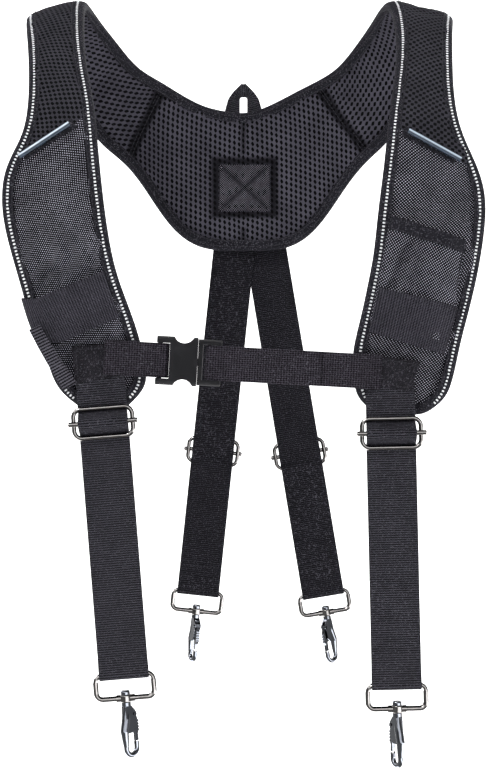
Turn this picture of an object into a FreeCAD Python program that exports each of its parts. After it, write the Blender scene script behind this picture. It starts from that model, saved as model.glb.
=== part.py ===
"""Padded tool-belt suspenders: a mesh-lined shoulder yoke, a chest strap with a
side-release buckle, and four adjustable straps that end in swivel snap hooks.

Millimetres. +X is the wearer's left, +Y points backwards, +Z is up. The origin is in
the middle between the shoulders, level with the arm-side edge of the pads where they
cross the shoulders.
"""
import FreeCAD, Part
import math
import os

os.makedirs("parts", exist_ok=True)
V = FreeCAD.Vector

# Driving dimensions ------------------------------------------------------------------
WEBBING = 38.0              # width of the four main straps
CHEST_WEBBING = 25.0        # width of the chest strap
WEB_THICK = 1.3             # thickness of one layer of webbing
PAD_HALF = 4.5              # half the thickness of a pad at its middle
EDGE_PUFF = 0.62            # share of that thickness left at the bound edge
CROWN = 2.5                 # how far the middle of a pad stands proud of its edges
BINDING_WIDTH = 3.0         # how far the binding reaches in from the edge
LAYER_GAP = 0.3             # clear space between two layers
COVER_THICK = 1.2
LINING_THICK = 2.2
TRIM_IN = 5.0               # centre of a reflective strip, in from the edge
TRIM_WIDTH = 2.0
WIRE_R = 1.7                # round wire of the adjusters and hook frames
TUBE_R = 2.0                # hanger tubes
HOOK_WIRE_R = 2.0
HOOK_BEND_R = 5.0           # centre line of the hook's round end
HOOK_SEAT_R = 3.2           # flattened inside of that end, where a ring sits
POST_R = 1.7
RUNNING = 0.06              # radial clearance of a pin in its hole

# The yoke's two edges, in pairs: (neck side), (arm side). Each list runs from the
# bottom of a front pad, over the shoulder and down the back to the middle panel.
LEFT_EDGES = [
    ((-92, -100, -317), (-121, -100, -317)),
    ((-78.5, -101, -303), (-138.5, -101, -303)),
    ((-75, -102, -287), (-149, -103, -280)),
    ((-80, -105, -262), (-160, -106, -252)),
    ((-88, -107, -238), (-169, -107, -222)),
    ((-97, -108, -212), (-177, -109, -193)),
    ((-103, -109, -184), (-182.5, -109, -164)),
    ((-107, -109, -155), (-180, -108, -135)),
    ((-111, -106, -118), (-168.5, -105, -108)),
    ((-115, -99, -84), (-164.5, -97, -79)),
    ((-121, -86, -56), (-166, -84, -53)),
    ((-125.5, -67, -30), (-169.5, -65, -31)),
    ((-128.5, -40, 0), (-174, -40, -11)),
    ((-129, -13, 14), (-177, -12, 1)),
    ((-126.5, 14, 15), (-176, 16, 0)),
    ((-120, 39, 9), (-169, 43, -14)),
    ((-109, 62, -2), (-157, 64, -37)),
    ((-93, 81, -17.5), (-142, 77, -62)),
    ((-74, 91, -28), (-124, 86, -85)),
    ((-60, 95, -36), (-106, 91, -100)),
    ((-45, 98, -44), (-86, 96, -125)),
    ((-29, 99.5, -50), (-62, 99, -158)),
    ((-14, 100, -53), (-37, 100, -174)),
]
MIDDLE_EDGES = ((0, 100, -54), (0, 100, -177))
RIGHT_EDGES = [
    ((103, -100, -320), (138, -100, -320)),
    ((92, -101, -312), (149, -101, -312)),
    ((85, -102, -297), (158, -102, -297)),
    ((84, -105, -273), (164, -104, -270)),
    ((89, -107, -249), (170, -106, -245)),
    ((94, -108, -226), (176, -108, -219)),
    ((99, -109, -199), (181, -109, -190)),
    ((102.5, -109, -168), (183, -109, -160)),
    ((107, -108, -132), (177, -108, -133)),
    ((111, -102, -99), (166, -103, -105)),
    ((116, -88, -69), (162, -90, -74)),
    ((120.5, -67, -36), (163.5, -70, -42)),
    ((121, -42, -5), (167, -45, -14)),
    ((118, -15, 13.5), (171, -15, 0)),
    ((114, 9, 14.5), (171, 11, 0)),
    ((109, 33, 9.5), (166, 38, -11)),
    ((101, 58, 1), (156, 61, -35)),
    ((91, 76, -10), (142, 75, -60)),
    ((79, 87, -20), (126, 85, -83)),
    ((66, 92, -27), (109, 91, -99)),
    ((50, 96, -34.5), (89, 96, -124)),
    ((33, 98.5, -43), (65, 99, -157)),
    ((16, 99.8, -50.5), (39, 100, -174)),
]
SEAM_PAIR = 18              # the pair where each pad is quilted to the middle panel
CREST_PAIR = 13             # the pair at the top of the shoulder

# Straps: the upper end sewn to the yoke, the bar that the hook hangs on, the distance
# from the one to the adjuster's pin, the side that faces outwards, and the hook's turn
STRAPS = {
    "front_left": {"top": (-109.3, -113.6, -286.0), "fold": (-90.7, -113.6, -517.5),
                   "adjuster": 40.5, "outward": -1, "turn": 44.0},
    "front_right": {"top": (110.8, -113.8, -290.0), "fold": (116.1, -113.8, -525.5),
                    "adjuster": 44.5, "outward": -1, "turn": 119.0},
    "rear_left": {"top": (-5.3, 111.0, -145.0), "fold": (-40.9, 111.0, -484.0),
                  "adjuster": 214.0, "outward": 1, "turn": 117.0},
    "rear_right": {"top": (15.1, 112.7, -145.0), "fold": (71.8, 112.7, -485.5),
                   "adjuster": 218.0, "outward": 1, "turn": 43.0},
}


def save(shape, node):
    """Write one sub-part as a STEP file named after its node."""
    if not shape.isValid():
        print("not valid:", node)
    shape.exportStep("parts/" + node + ".step")


# Curves and slabs ----------------------------------------------------------------------
def edge_pairs():
    """All the pairs as vectors, from the left pad's bottom round to the right pad's."""
    pairs = LEFT_EDGES + [MIDDLE_EDGES] + RIGHT_EDGES[::-1]
    return [(V(*neck), V(*arm)) for neck, arm in pairs]


def stations(pairs):
    """The distance along the yoke's centre line at each pair."""
    middles = [(neck + arm) * 0.5 for neck, arm in pairs]
    run = [0.0]
    for here, there in zip(middles, middles[1:]):
        run.append(run[-1] + here.distanceToPoint(there))
    return run


def spline(points, parameters):
    curve = Part.BSplineCurve()
    curve.interpolate(Points=points, Parameters=parameters)
    return curve


PAIRS = edge_pairs()
RUN = stations(PAIRS)
NECK_EDGE = spline([neck for neck, arm in PAIRS], RUN)
ARM_EDGE = spline([arm for neck, arm in PAIRS], RUN)
TOTAL = RUN[-1]
LEFT_CREST = RUN[CREST_PAIR]
RIGHT_CREST = RUN[len(PAIRS) - 1 - CREST_PAIR]
# The quilted seams lean: the station of each at the neck edge and at the arm edge
LEFT_SEAM = (RUN[SEAM_PAIR] + 5.0, RUN[SEAM_PAIR] + 22.0)
RIGHT_SEAM = (RUN[len(PAIRS) - 1 - SEAM_PAIR] - 22.0, RUN[len(PAIRS) - 1 - SEAM_PAIR] - 15.0)


def width_at(s):
    return NECK_EDGE.value(s).distanceToPoint(ARM_EDGE.value(s))


def puff(t):
    """How thick the yoke is across its width: 1 in the middle, less at the edges."""
    return EDGE_PUFF + (1 - EDGE_PUFF) * math.sqrt(max(0.0, 4 * t * (1 - t)))


def yoke_point(s, t, h):
    """A point s along the yoke, t across it from neck (0) to arm (1), h outwards."""
    neck = NECK_EDGE.value(s)
    across = ARM_EDGE.value(s) - neck
    along = NECK_EDGE.tangent(s)[0] * (1 - t) + ARM_EDGE.tangent(s)[0] * t
    out = along.cross(across).normalize()
    return neck + across * t + out * (CROWN * 4 * t * (1 - t) + h)


def closed_slab(lower, upper):
    """A solid between two grids of points of the same size."""
    sheets = []
    for grid in (lower, upper):
        sheet = Part.BSplineSurface()
        sheet.interpolate(grid)
        sheets.append(sheet)
    low, high = sheets
    faces = [low.toShape(), high.toShape()]
    for end in (0.0, 1.0):
        faces.append(Part.makeRuledSurface(low.uIso(end).toShape(), high.uIso(end).toShape(), 1))
        faces.append(Part.makeRuledSurface(low.vIso(end).toShape(), high.vIso(end).toShape(), 1))
    shell = Part.Shell(faces)
    shell.sewShape()
    solid = Part.Solid(shell)
    if solid.Volume < 0:
        solid.reverse()
    return solid


ROW_STEP = 7.0              # distance between the rows that a yoke surface passes through


def level(s):
    """A station that is the same at the neck edge and at the arm edge."""
    return s, s


def beside(stations_at, distance):
    return stations_at[0] + distance, stations_at[1] + distance


def yoke_slab(start, end, near, far, h_ends, columns=9):
    """Part of the yoke between two stations and two lines given as functions of s.

    A station is a pair, for the neck edge and for the arm edge.
    """
    rows = max(3, round((sum(end) - sum(start)) / 2 / ROW_STEP) + 1)
    grids = []
    for h in h_ends:
        grid = []
        for i in range(rows):
            share = i / (rows - 1)
            at_neck = start[0] * (1 - share) + end[0] * share
            at_arm = start[1] * (1 - share) + end[1] * share
            row = []
            for j in range(columns):
                across = j / (columns - 1)
                s = at_neck * (1 - across) + at_arm * across
                t = near(s) * (1 - across) + far(s) * across
                row.append(yoke_point(s, t, h * puff(t)))
            grid.append(row)
        grids.append(grid)
    return closed_slab(*grids)


def from_neck(distance):
    return lambda s: distance / width_at(s)


def from_arm(distance):
    return lambda s: 1 - distance / width_at(s)


# The padded yoke -----------------------------------------------------------------------
LAYERS = {
    "lining": (-PAD_HALF, -PAD_HALF + LINING_THICK),
    "foam": (-PAD_HALF + LINING_THICK + LAYER_GAP, PAD_HALF - COVER_THICK - LAYER_GAP),
    "cover": (PAD_HALF - COVER_THICK, PAD_HALF),
}
INSET = BINDING_WIDTH + 2 * LAYER_GAP
SECTIONS = {
    "left": (level(INSET), beside(LEFT_SEAM, -LAYER_GAP)),
    "back": (beside(LEFT_SEAM, LAYER_GAP), beside(RIGHT_SEAM, -LAYER_GAP)),
    "right": (beside(RIGHT_SEAM, LAYER_GAP), level(TOTAL - INSET)),
}


def make_layers():
    """Lining, foam and cover of the two pads and of the middle panel."""
    for side, (start, end) in SECTIONS.items():
        for layer, heights in LAYERS.items():
            solid = yoke_slab(start, end, from_neck(INSET), from_arm(INSET), heights)
            save(solid, side + "_" + layer)


def make_binding():
    """The folded tape round the yoke's edge: both long edges and the pads' bottom ends."""
    half = PAD_HALF + 0.3
    bottom, last = level(0.0), level(TOTAL)
    ends = {"left": (bottom, LEFT_SEAM), "back": (LEFT_SEAM, RIGHT_SEAM), "right": (RIGHT_SEAM, last)}
    for side, (start, end) in ends.items():
        strips = [
            yoke_slab(start, end, from_neck(0), from_neck(BINDING_WIDTH), (-half, half), 3),
            yoke_slab(start, end, from_arm(BINDING_WIDTH), from_arm(0), (-half, half), 3),
        ]
        if side != "back":
            tip = (bottom, level(BINDING_WIDTH)) if side == "left" else (level(TOTAL - BINDING_WIDTH), last)
            strips.append(yoke_slab(*tip, from_neck(INSET), from_arm(INSET), (-half, half), 5))
        save(Part.makeCompound(strips), side + "_binding")


def make_trims():
    """Reflective piping strips along both edges of each front pad."""
    low = PAD_HALF + 1.4 * LAYER_GAP
    high = low + 0.5
    near = TRIM_IN - TRIM_WIDTH / 2
    far = TRIM_IN + TRIM_WIDTH / 2
    strips = []
    for start, end in ((6.0, LEFT_CREST), (RIGHT_CREST, TOTAL - 6.0)):
        ends = level(start), level(end)
        strips.append(yoke_slab(*ends, from_neck(near), from_neck(far), (low, high), 3))
        strips.append(yoke_slab(*ends, from_arm(far), from_arm(near), (low, high), 3))
    save(Part.makeCompound(strips), "reflective_trims")


# Things sewn on the front pads -----------------------------------------------------------
def pad_station(x, z, start):
    """The (s, t) on the yoke's outer face that lies at x, z, searched from a first s."""
    s, t = start, 0.5
    step = 0.01
    for _ in range(12):
        here = yoke_point(s, t, PAD_HALF)
        by_s = (yoke_point(s + step, t, PAD_HALF) - here) * (1 / step)
        by_t = (yoke_point(s, t + step, PAD_HALF) - here) * (1 / step)
        dx, dz = x - here.x, z - here.z
        det = by_s.x * by_t.z - by_s.z * by_t.x
        s += (dx * by_t.z - dz * by_t.x) / det
        t += (dz * by_s.x - dx * by_s.z) / det
    return s, t


def on_pad(x, z, rise):
    """A point at x, z that stands a given height off the outer face of a front pad."""
    s, t = pad_station(x, z, 110.0 if x < 0 else TOTAL - 110.0)
    return yoke_point(s, t, PAD_HALF * puff(t) + rise)


def pad_patch(corners, rise, thickness, bulge=0.0, rows=7, columns=5):
    """A sewn-on sheet with four corners (x, z): first edge, then the edge facing it."""
    a, b, c, d = corners
    grids = []
    for lift in (rise, rise + thickness):
        grid = []
        for i in range(rows):
            u = i / (rows - 1)
            arch = bulge * math.sin(math.pi * u)
            row = []
            for j in range(columns):
                v = j / (columns - 1)
                x = (a[0] * (1 - u) + b[0] * u) * (1 - v) + (d[0] * (1 - u) + c[0] * u) * v
                z = (a[1] * (1 - u) + b[1] * u) * (1 - v) + (d[1] * (1 - u) + c[1] * u) * v
                row.append(on_pad(x, z, lift + arch))
            grid.append(row)
        grids.append(grid)
    return closed_slab(*grids)


SEWN = 0.9                  # height of a sewn patch above the cover, over the trim strips
BAND_RISE = 7.0             # how far a holding band arches off the pad


def make_pad_fittings():
    """Holding bands, the tool loop, the pen pocket and the hanger tubes."""
    left_band = ((-158, -234), (-106, -212), (-94, -247), (-141, -267))
    save(pad_patch(left_band, SEWN, WEB_THICK, BAND_RISE), "left_phone_band")
    right_band = ((102, -224), (162, -239), (152, -275), (95, -258))
    save(pad_patch(right_band, SEWN + 1.7, WEB_THICK, BAND_RISE), "right_phone_band")
    pocket = ((111, -172), (168, -191), (155, -266), (96, -249))
    save(pad_patch(pocket, SEWN, 1.2, BAND_RISE - 0.2), "right_pen_pocket")
    strip = ((-162.0, -256.0), (-136.0, -302.0), (-126.0, -296.0), (-153.5, -252.5))
    save(pad_patch(strip, 5.6, WEB_THICK, 4.2), "left_tool_loop")
    ends = [((-169.0, -126.5), (-131.5, -102.0)), ((124.5, -107.5), (163.5, -129.0))]
    tubes, bands = [], []
    for first, last in ends:
        low = on_pad(first[0], first[1], 1.6 + TUBE_R + 2.1)
        high = on_pad(last[0], last[1], 1.6 + TUBE_R + 2.1)
        reach = high - low
        tube = Part.makeCylinder(TUBE_R, reach.Length, low, reach)
        bore = Part.makeCylinder(TUBE_R - 0.6, reach.Length + 2, low - reach.normalize(), reach)
        tubes.append(tube.cut(bore))
        bands.append(hanger_band(first, last))
    save(Part.makeCompound(tubes), "hanger_tubes")
    save(Part.makeCompound(bands), "hanger_bands")


def hanger_band(first, last):
    """The flat tape that a hanger tube lies on, sewn across the pad."""
    run = V(last[0] - first[0], 0, last[1] - first[1]).normalize()
    side = V(-run.z, 0, run.x) * 4.0
    stretch = 4.0
    corners = []
    for end, way in ((first, -1), (last, 1)):
        corners.append((end[0] + run.x * stretch * way, end[1] + run.z * stretch * way))
    (ax, az), (bx, bz) = corners
    return pad_patch(((ax + side.x, az + side.z), (bx + side.x, bz + side.z),
                      (bx - side.x, bz - side.z), (ax - side.x, az - side.z)), SEWN, 0.7)


# The chest strap and its buckle ----------------------------------------------------------
CHEST_TILT = 3.1            # the strap falls a little towards the wearer's left
BUCKLE_AT = V(-41.5, -111.2, -280.5)
SOCKET_LENGTH = 31.0
BUCKLE_HEIGHT = 37.0
BUCKLE_THICK = 11.0
WALL = 1.8
PLUG_FRAME = 18.0


def chest_frame(shape):
    """Place a shape made round the buckle's centre, with its length along X."""
    shape.rotate(V(0, 0, 0), V(0, 1, 0), CHEST_TILT)
    shape.translate(BUCKLE_AT)
    return shape


def rounded_box(x0, x1, y0, y1, z0, z1, radius, direction="x"):
    box = Part.makeBox(x1 - x0, y1 - y0, z1 - z0, V(x0, y0, z0))
    index = {"x": 0, "y": 1, "z": 2}[direction]
    edges = [e for e in box.Edges if abs(e.tangentAt(e.FirstParameter)[index]) > 0.99]
    return box.makeFillet(radius, edges)


SOCKET_BAR_X = -BUCKLE_HEIGHT / 2 - 3.6
LADDER_BAR_X = BUCKLE_HEIGHT / 2 + 6.0 - PLUG_FRAME + 9.0
SOCKET_BAR_R = 1.9
STRAP_LIFT = -1.6            # the straps' sewn ends, in front of the buckle's middle plane
LADDER_BAR_R = 1.4


def make_chest_straps():
    """Both halves of the chest webbing, each sewn to its pad and ending in the buckle."""
    half = CHEST_WEBBING / 2
    wrap = SOCKET_BAR_R + LAYER_GAP + WEB_THICK / 2
    left = ribbon((-84.0, STRAP_LIFT), [((SOCKET_BAR_X, 0.0), wrap)], (-36.0, -0.2), half, "xy")
    save(chest_frame(left), "chest_strap_left")
    wrap = LADDER_BAR_R + LAYER_GAP + WEB_THICK / 2
    right = ribbon((176.0, 2 * STRAP_LIFT), [((LADDER_BAR_X, 0.0), wrap)], (100.0, -3.0), half, "xy")
    save(chest_frame(right), "chest_strap_right")


def belt(start, circles, end, offset):
    """Lines and arcs from start to end, tangent to each circle, shifted left by offset.

    A circle is (centre, radius), with a positive radius where the path turns left round
    it. Everything lies in one plane, given as pairs of numbers.
    """
    stops = [(start, 0.0)] + circles + [(end, 0.0)]
    headings = []
    for (here, r1), (there, r2) in zip(stops, stops[1:]):
        dx, dy = there[0] - here[0], there[1] - here[1]
        headings.append(math.atan2(dy, dx) - math.asin((r2 - r1) / math.hypot(dx, dy)))

    def touch(stop, heading):
        (x, y), radius = stop
        reach = radius - offset
        return x + reach * math.sin(heading), y - reach * math.cos(heading)

    pieces = []
    for i, heading in enumerate(headings):
        pieces.append(("line", touch(stops[i], heading), touch(stops[i + 1], heading)))
        if i + 1 < len(headings):
            turn = headings[i + 1] - heading
            way = math.copysign(1.0, stops[i + 1][1])
            while turn * way < 0:
                turn += way * 2 * math.pi
            points = [touch(stops[i + 1], heading + turn * share) for share in (0.0, 0.5, 1.0)]
            pieces.append(("arc", *points))
    return pieces


def ribbon(start, circles, end, half_width, plane, thick=WEB_THICK):
    """A strip of webbing along a belt path, in the plane "yz" or "xy", given its width."""
    place = (lambda p: V(0, p[0], p[1])) if plane == "yz" else (lambda p: V(p[0], p[1], 0))
    axis = V(1, 0, 0) if plane == "yz" else V(0, 0, 1)
    edges, ends = [], []
    for offset in (thick / 2, -thick / 2):
        pieces = belt(start, circles, end, offset)
        for kind, *points in pieces:
            spots = [place(p) for p in points]
            edges.append(Part.Arc(*spots).toShape() if kind == "arc" else Part.makeLine(*spots))
        ends.append((place(pieces[0][1]), place(pieces[-1][-1])))
    edges += [Part.makeLine(ends[0][0], ends[1][0]), Part.makeLine(ends[0][1], ends[1][1])]
    face = Part.Face(Part.Wire(Part.__sortEdges__(edges)))
    face.translate(axis * -half_width)
    return face.extrude(axis * (2 * half_width))


def buckle_socket():
    """The female half: a flat hollow body with side windows and a strap bar."""
    x0 = -BUCKLE_HEIGHT / 2 - 6.0
    x1 = x0 + SOCKET_LENGTH
    hy, hz = BUCKLE_THICK / 2, BUCKLE_HEIGHT / 2
    body = rounded_box(x0, x1, -hy, hy, -hz, hz, 3.5)
    body = body.cut(Part.makeBox(11.0, 20, CHEST_WEBBING + 2, V(x0 - 1, -10, -CHEST_WEBBING / 2 - 1)))
    hollow = Part.makeBox(SOCKET_LENGTH, 2 * (hy - WALL), 2 * (hz - WALL - 0.6),
                          V(x0 + 11.6, -hy + WALL, -hz + WALL + 0.6))
    body = body.cut(hollow)
    for side in (-1, 1):
        window = Part.makeCylinder(8.2, 20, V(x0 + 20.5, -10, side * (hz + 3.4)), V(0, 1, 0))
        body = body.cut(window)
    span = BUCKLE_HEIGHT - 6.0
    return body.fuse(Part.makeCylinder(SOCKET_BAR_R, span, V(SOCKET_BAR_X, 0, -span / 2)))


def buckle_plug():
    """The male half: a ladder-lock frame, a centre guide and the roots of the arms."""
    x1 = BUCKLE_HEIGHT / 2 + 6.0
    x0 = x1 - PLUG_FRAME
    hz = BUCKLE_HEIGHT / 2
    frame = rounded_box(x0 + 0.4, x1, -3.6, 3.6, -hz + 1.0, hz - 1.0, 2.4)
    opening = CHEST_WEBBING / 2 + 1
    frame = frame.cut(Part.makeBox(20, 20, 2 * opening, V(x0 + 4.0, -10, -opening)))
    span = 2 * opening + 4.0
    ladder = Part.makeCylinder(LADDER_BAR_R, span, V(LADDER_BAR_X, 0, -span / 2))
    rim = Part.makeBox(2.6, 2 * LADDER_BAR_R, span, V(x1 - 2.8, -LADDER_BAR_R, -span / 2))
    guide = rounded_box(x0 - 12.0, x0 + 1.0, -1.6, 1.6, -3.0, 3.0, 1.0)
    return frame.fuse([ladder, rim, guide]).removeSplitter()


def buckle_arm(side):
    """One springy arm of the plug, with its barbed finger pad in the side window."""
    x_root = BUCKLE_HEIGHT / 2 + 6.0 - PLUG_FRAME + 0.1
    hz = BUCKLE_HEIGHT / 2
    outline = [
        V(x_root, 0, 10.6), V(x_root - 9.0, 0, 12.6), V(x_root - 13.5, 0, 12.4), V(x_root - 16.5, 0, 9.4),
        V(x_root - 15.2, 0, 8.2), V(x_root - 9.0, 0, 8.9), V(x_root, 0, 7.8),
    ]
    face = Part.Face(Part.makePolygon(outline + outline[:1]))
    face.translate(V(0, -2.6, 0))
    arm = face.extrude(V(0, 5.2, 0))
    if side < 0:
        arm = arm.mirror(V(0, 0, 0), V(0, 0, 1))
    return arm


def make_buckle():
    save(chest_frame(buckle_socket()), "buckle_socket")
    save(chest_frame(buckle_plug()), "buckle_plug")
    save(chest_frame(buckle_arm(1)), "buckle_upper_arm")
    save(chest_frame(buckle_arm(-1)), "buckle_lower_arm")


# The middle of the back --------------------------------------------------------------------
def make_back_fittings():
    """The sewn square over the rear straps' ends and the loop that hangs it up."""
    outer = PAD_HALF + 4.6
    half_square = 27.0
    grids = []
    for h in (outer, outer + WEB_THICK):
        y = 100 + CROWN + h
        grids.append([[V(x, y, z) for z in (-149, -120, -91)] for x in (-half_square, 0, half_square)])
    save(closed_slab(*grids), "back_patch")
    y = 100 + PAD_HALF + 0.6
    outside = [V(-17.5, y, -64), V(-12, y, -42), V(-6.5, y, -28), V(-2, y, -26), V(2.5, y, -28.5),
               V(11, y, -42), V(17.5, y, -64)]
    inside = [V(-3.0, y, -64), V(-3.2, y, -47), V(0, y, -40.5), V(3.6, y, -47), V(3.6, y, -64)]
    loop = Part.Face(Part.makePolygon(outside + inside[::-1] + outside[:1]))
    save(loop.extrude(V(0, 2 * WEB_THICK, 0)), "hang_loop")


# Straps and their metalwork, made upright and then laid along each strap ---------------------
def ring(width, height, radius, wire):
    """A rectangular loop of round wire about the origin, in the XZ plane."""
    x, z = width / 2, height / 2
    corner = radius * (1 - math.sqrt(0.5))
    arcs = []
    for sx, sz in ((1, 1), (1, -1), (-1, -1), (-1, 1)):
        along_x = V(sx * (x - radius), 0, sz * z)
        along_z = V(sx * x, 0, sz * (z - radius))
        middle = V(sx * (x - corner), 0, sz * (z - corner))
        arcs.append((along_x, middle, along_z))
    edges = []
    for i, (along_x, middle, along_z) in enumerate(arcs):
        edges.append(Part.Arc(along_x, middle, along_z).toShape())
        after = arcs[(i + 1) % 4]
        start, end = (along_z, after[2]) if i % 2 == 0 else (along_x, after[0])
        edges.append(Part.makeLine(start, end))
    path = Part.Wire(Part.__sortEdges__(edges))
    first = path.OrderedEdges[0]
    start = first.valueAt(first.FirstParameter)
    profile = Part.Wire(Part.makeCircle(wire, start, first.tangentAt(first.FirstParameter)))
    return path.makePipeShell([profile], True, True)


def rounded_route(corners, radius):
    """Edges of a flat route through the corners, with the inner ones rounded."""
    edges = []
    at = corners[0]
    for before, corner, after in zip(corners, corners[1:], corners[2:]):
        into = (corner - before).normalize()
        out = (after - corner).normalize()
        half = into.getAngle(out) / 2
        reach = radius * math.tan(half)
        inward = (out - into).normalize()
        middle = corner + inward * (radius / math.cos(half) - radius)
        start, end = corner - into * reach, corner + out * reach
        edges += [Part.makeLine(at, start), Part.Arc(start, middle, end).toShape()]
        at = end
    return edges + [Part.makeLine(at, corners[-1])]


ADJUSTER_WIDTH = 44.6
ADJUSTER_HEIGHT = 22.0
PIN_R = 1.9
PIN_OUT = 2.3               # how far the pin lies in front of the frame's middle
HOOK_FRAME_WIDTH = 44.0
HOOK_FRAME_HEIGHT = 18.0
HOOK_FRAME_R = 2.0           # the frame's wire is thicker below the webbing


def adjuster_frame():
    return ring(ADJUSTER_WIDTH, ADJUSTER_HEIGHT, 6.0, WIRE_R)


def adjuster_pin():
    """The movable bar, grooved where it grips the sides of the adjuster frame."""
    half = ADJUSTER_WIDTH / 2 + 4.0
    pin = Part.makeCylinder(PIN_R, 2 * half, V(-half, -PIN_OUT, 0), V(1, 0, 0))
    ends = [e for e in pin.Edges if e.Curve.TypeId == "Part::GeomCircle"]
    pin = pin.makeFillet(0.8, ends)
    for side in (-1, 1):
        groove = Part.makeCylinder(WIRE_R + RUNNING, 20, V(side * ADJUSTER_WIDTH / 2, 0, -10))
        pin = pin.cut(groove)
    return pin


BAR_WRAP = WIRE_R + 0.75 + WEB_THICK / 2             # centre line of webbing round a bar
PIN_WRAP = PIN_R + LAYER_GAP + WEB_THICK / 2
LAYER_STEP = WEB_THICK + 0.4                         # from one layer to the next
FOLD_SPREAD = 16.0                                   # where the layers part above the hook
HOOK_BAR_BACK = BAR_WRAP + LAYER_STEP / 2            # the hook bar lies under both layers
GENTLE = 20.0


def upper_webbing(length):
    """From the yoke, behind the adjuster's top bar, over the pin and behind the bottom bar."""
    bar = ADJUSTER_HEIGHT / 2
    circles = [((0.0, bar), -BAR_WRAP), ((-PIN_OUT, 0.0), PIN_WRAP + LAYER_STEP),
               ((0.0, -bar), -BAR_WRAP)]
    return ribbon((BAR_WRAP, length), circles, (BAR_WRAP, -bar - 4.0), WEBBING / 2, "yz")


def loop_webbing(drop):
    """From the adjuster down, round the hook frame's bar, and back up round the pin."""
    bar = ADJUSTER_HEIGHT / 2
    front, back = BAR_WRAP, BAR_WRAP + LAYER_STEP
    part_at = -drop + FOLD_SPREAD
    circles = [((front - GENTLE, part_at), -GENTLE), ((HOOK_BAR_BACK, -drop), BAR_WRAP),
               ((back + GENTLE, part_at), -GENTLE), ((0.0, -bar), BAR_WRAP + LAYER_STEP),
               ((-PIN_OUT, 0.0), -PIN_WRAP)]
    return ribbon((front, -bar - 4.6), circles, (1.1, -2.6), WEBBING / 2, "yz")


def hook_frame():
    """The wire loop that the webbing holds, with the boss that the hook turns in."""
    loop = ring(HOOK_FRAME_WIDTH, HOOK_FRAME_HEIGHT, 5.0, WIRE_R)
    loop.translate(V(0, 0, -HOOK_FRAME_HEIGHT / 2))
    z = -HOOK_FRAME_HEIGHT
    reach = HOOK_FRAME_WIDTH / 2
    path = Part.Wire(rounded_route([V(-reach, 0, -5.0), V(-reach, 0, z), V(reach, 0, z), V(reach, 0, -5.0)], 5.0))
    profile = Part.Wire(Part.makeCircle(HOOK_FRAME_R, V(-reach, 0, -5.0), V(0, 0, -1)))
    loop = loop.fuse(path.makePipeShell([profile], True, True))
    boss = Part.makeCylinder(4.4, 5.6, V(0, 0, z - 2.8))
    boss = boss.makeFillet(0.8, [e for e in boss.Edges if e.Curve.TypeId == "Part::GeomCircle"])
    ears = Part.makeCylinder(2.7, 14.0, V(-7.0, 0, z), V(1, 0, 0))
    hole = Part.makeCylinder(POST_R + RUNNING, 20, V(0, 0, z - 10))
    return loop.fuse([boss, ears]).cut(hole).removeSplitter()


BOSS_BOTTOM = -HOOK_FRAME_HEIGHT - 2.8
BOSS_TOP = -HOOK_FRAME_HEIGHT + 2.8
HEAD_TOP = BOSS_BOTTOM - 4.0
BEND_CENTRE = V(2.0, 0, -56.5)
PIVOT = V(5.0, 0, HEAD_TOP - 6.0)
NOSE_TOP = BEND_CENTRE.z + 4.6
SLOT_HALF = 1.65


def hook_back(left):
    """The thick cast back of the hook, drawn in towards its round end."""
    stations = [(V(0, 0, HEAD_TOP + 1.0), 2.5), (V(-1.4, 0, HEAD_TOP - 9.0), 3.3),
                (V(left - 0.6, 0, HEAD_TOP - 18.0), 3.2), (V(left, 0, BEND_CENTRE.z + 2.0), 2.2)]
    pieces = []
    for (here, r1), (there, r2) in zip(stations, stations[1:]):
        pieces.append(Part.makeCone(r1, r2, here.distanceToPoint(there), here, there - here))
    for centre, radius in stations[1:3]:
        ball = Part.makeSphere(radius)
        ball.translate(centre)
        pieces.append(ball)
    return pieces


def hook_body():
    """Swivel post, collar, cheeks for the gate and the bent hook."""
    post = Part.makeCylinder(POST_R, BOSS_TOP - BOSS_BOTTOM + 2.0, V(0, 0, BOSS_BOTTOM - 1.0))
    head = Part.makeCylinder(3.5, 3.0, V(0, 0, BOSS_TOP + 0.3))
    head = head.makeFillet(1.4, [head.Edges[0]])
    collar = Part.makeCylinder(3.6, 2.6, V(0, 0, BOSS_BOTTOM - 2.9))
    left = BEND_CENTRE.x - HOOK_BEND_R
    right = BEND_CENTRE.x + HOOK_BEND_R
    spine = rounded_route([V(0, 0, HEAD_TOP + 2.5), V(0, 0, HEAD_TOP - 2.0), V(left, 0, HEAD_TOP - 14.0),
                           V(left, 0, BEND_CENTRE.z)], 10.0)
    bend = Part.Arc(V(left, 0, BEND_CENTRE.z), BEND_CENTRE - V(0, 0, HOOK_BEND_R),
                    V(right, 0, BEND_CENTRE.z)).toShape()
    nose = Part.makeLine(V(right, 0, BEND_CENTRE.z), V(right, 0, NOSE_TOP))
    path = Part.Wire(spine + [bend, nose])
    profile = Part.Wire(Part.makeCircle(HOOK_WIRE_R, V(0, 0, HEAD_TOP + 2.5), V(0, 0, -1)))
    wire = path.makePipeShell([profile], True, True)
    seat = Part.makeCylinder(HOOK_SEAT_R, 20, BEND_CENTRE - V(0, 10, 0), V(0, 1, 0))
    whole = wire.fuse(hook_back(left)).cut(seat).fuse([post, head, collar, hook_cheeks()])
    slot = Part.makeBox(12, 2 * SLOT_HALF, 16.0, V(1.6, -SLOT_HALF, HEAD_TOP - 16.7))
    groove = Part.makeBox(12, 2 * SLOT_HALF, 14.0, V(left + 1.8, -SLOT_HALF, NOSE_TOP - 1.0))
    hole = Part.makeCylinder(1.2 + RUNNING, 20, PIVOT - V(0, 10, 0), V(0, 1, 0))
    return whole.cut(slot).cut(groove).cut(hole).removeSplitter()


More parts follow.
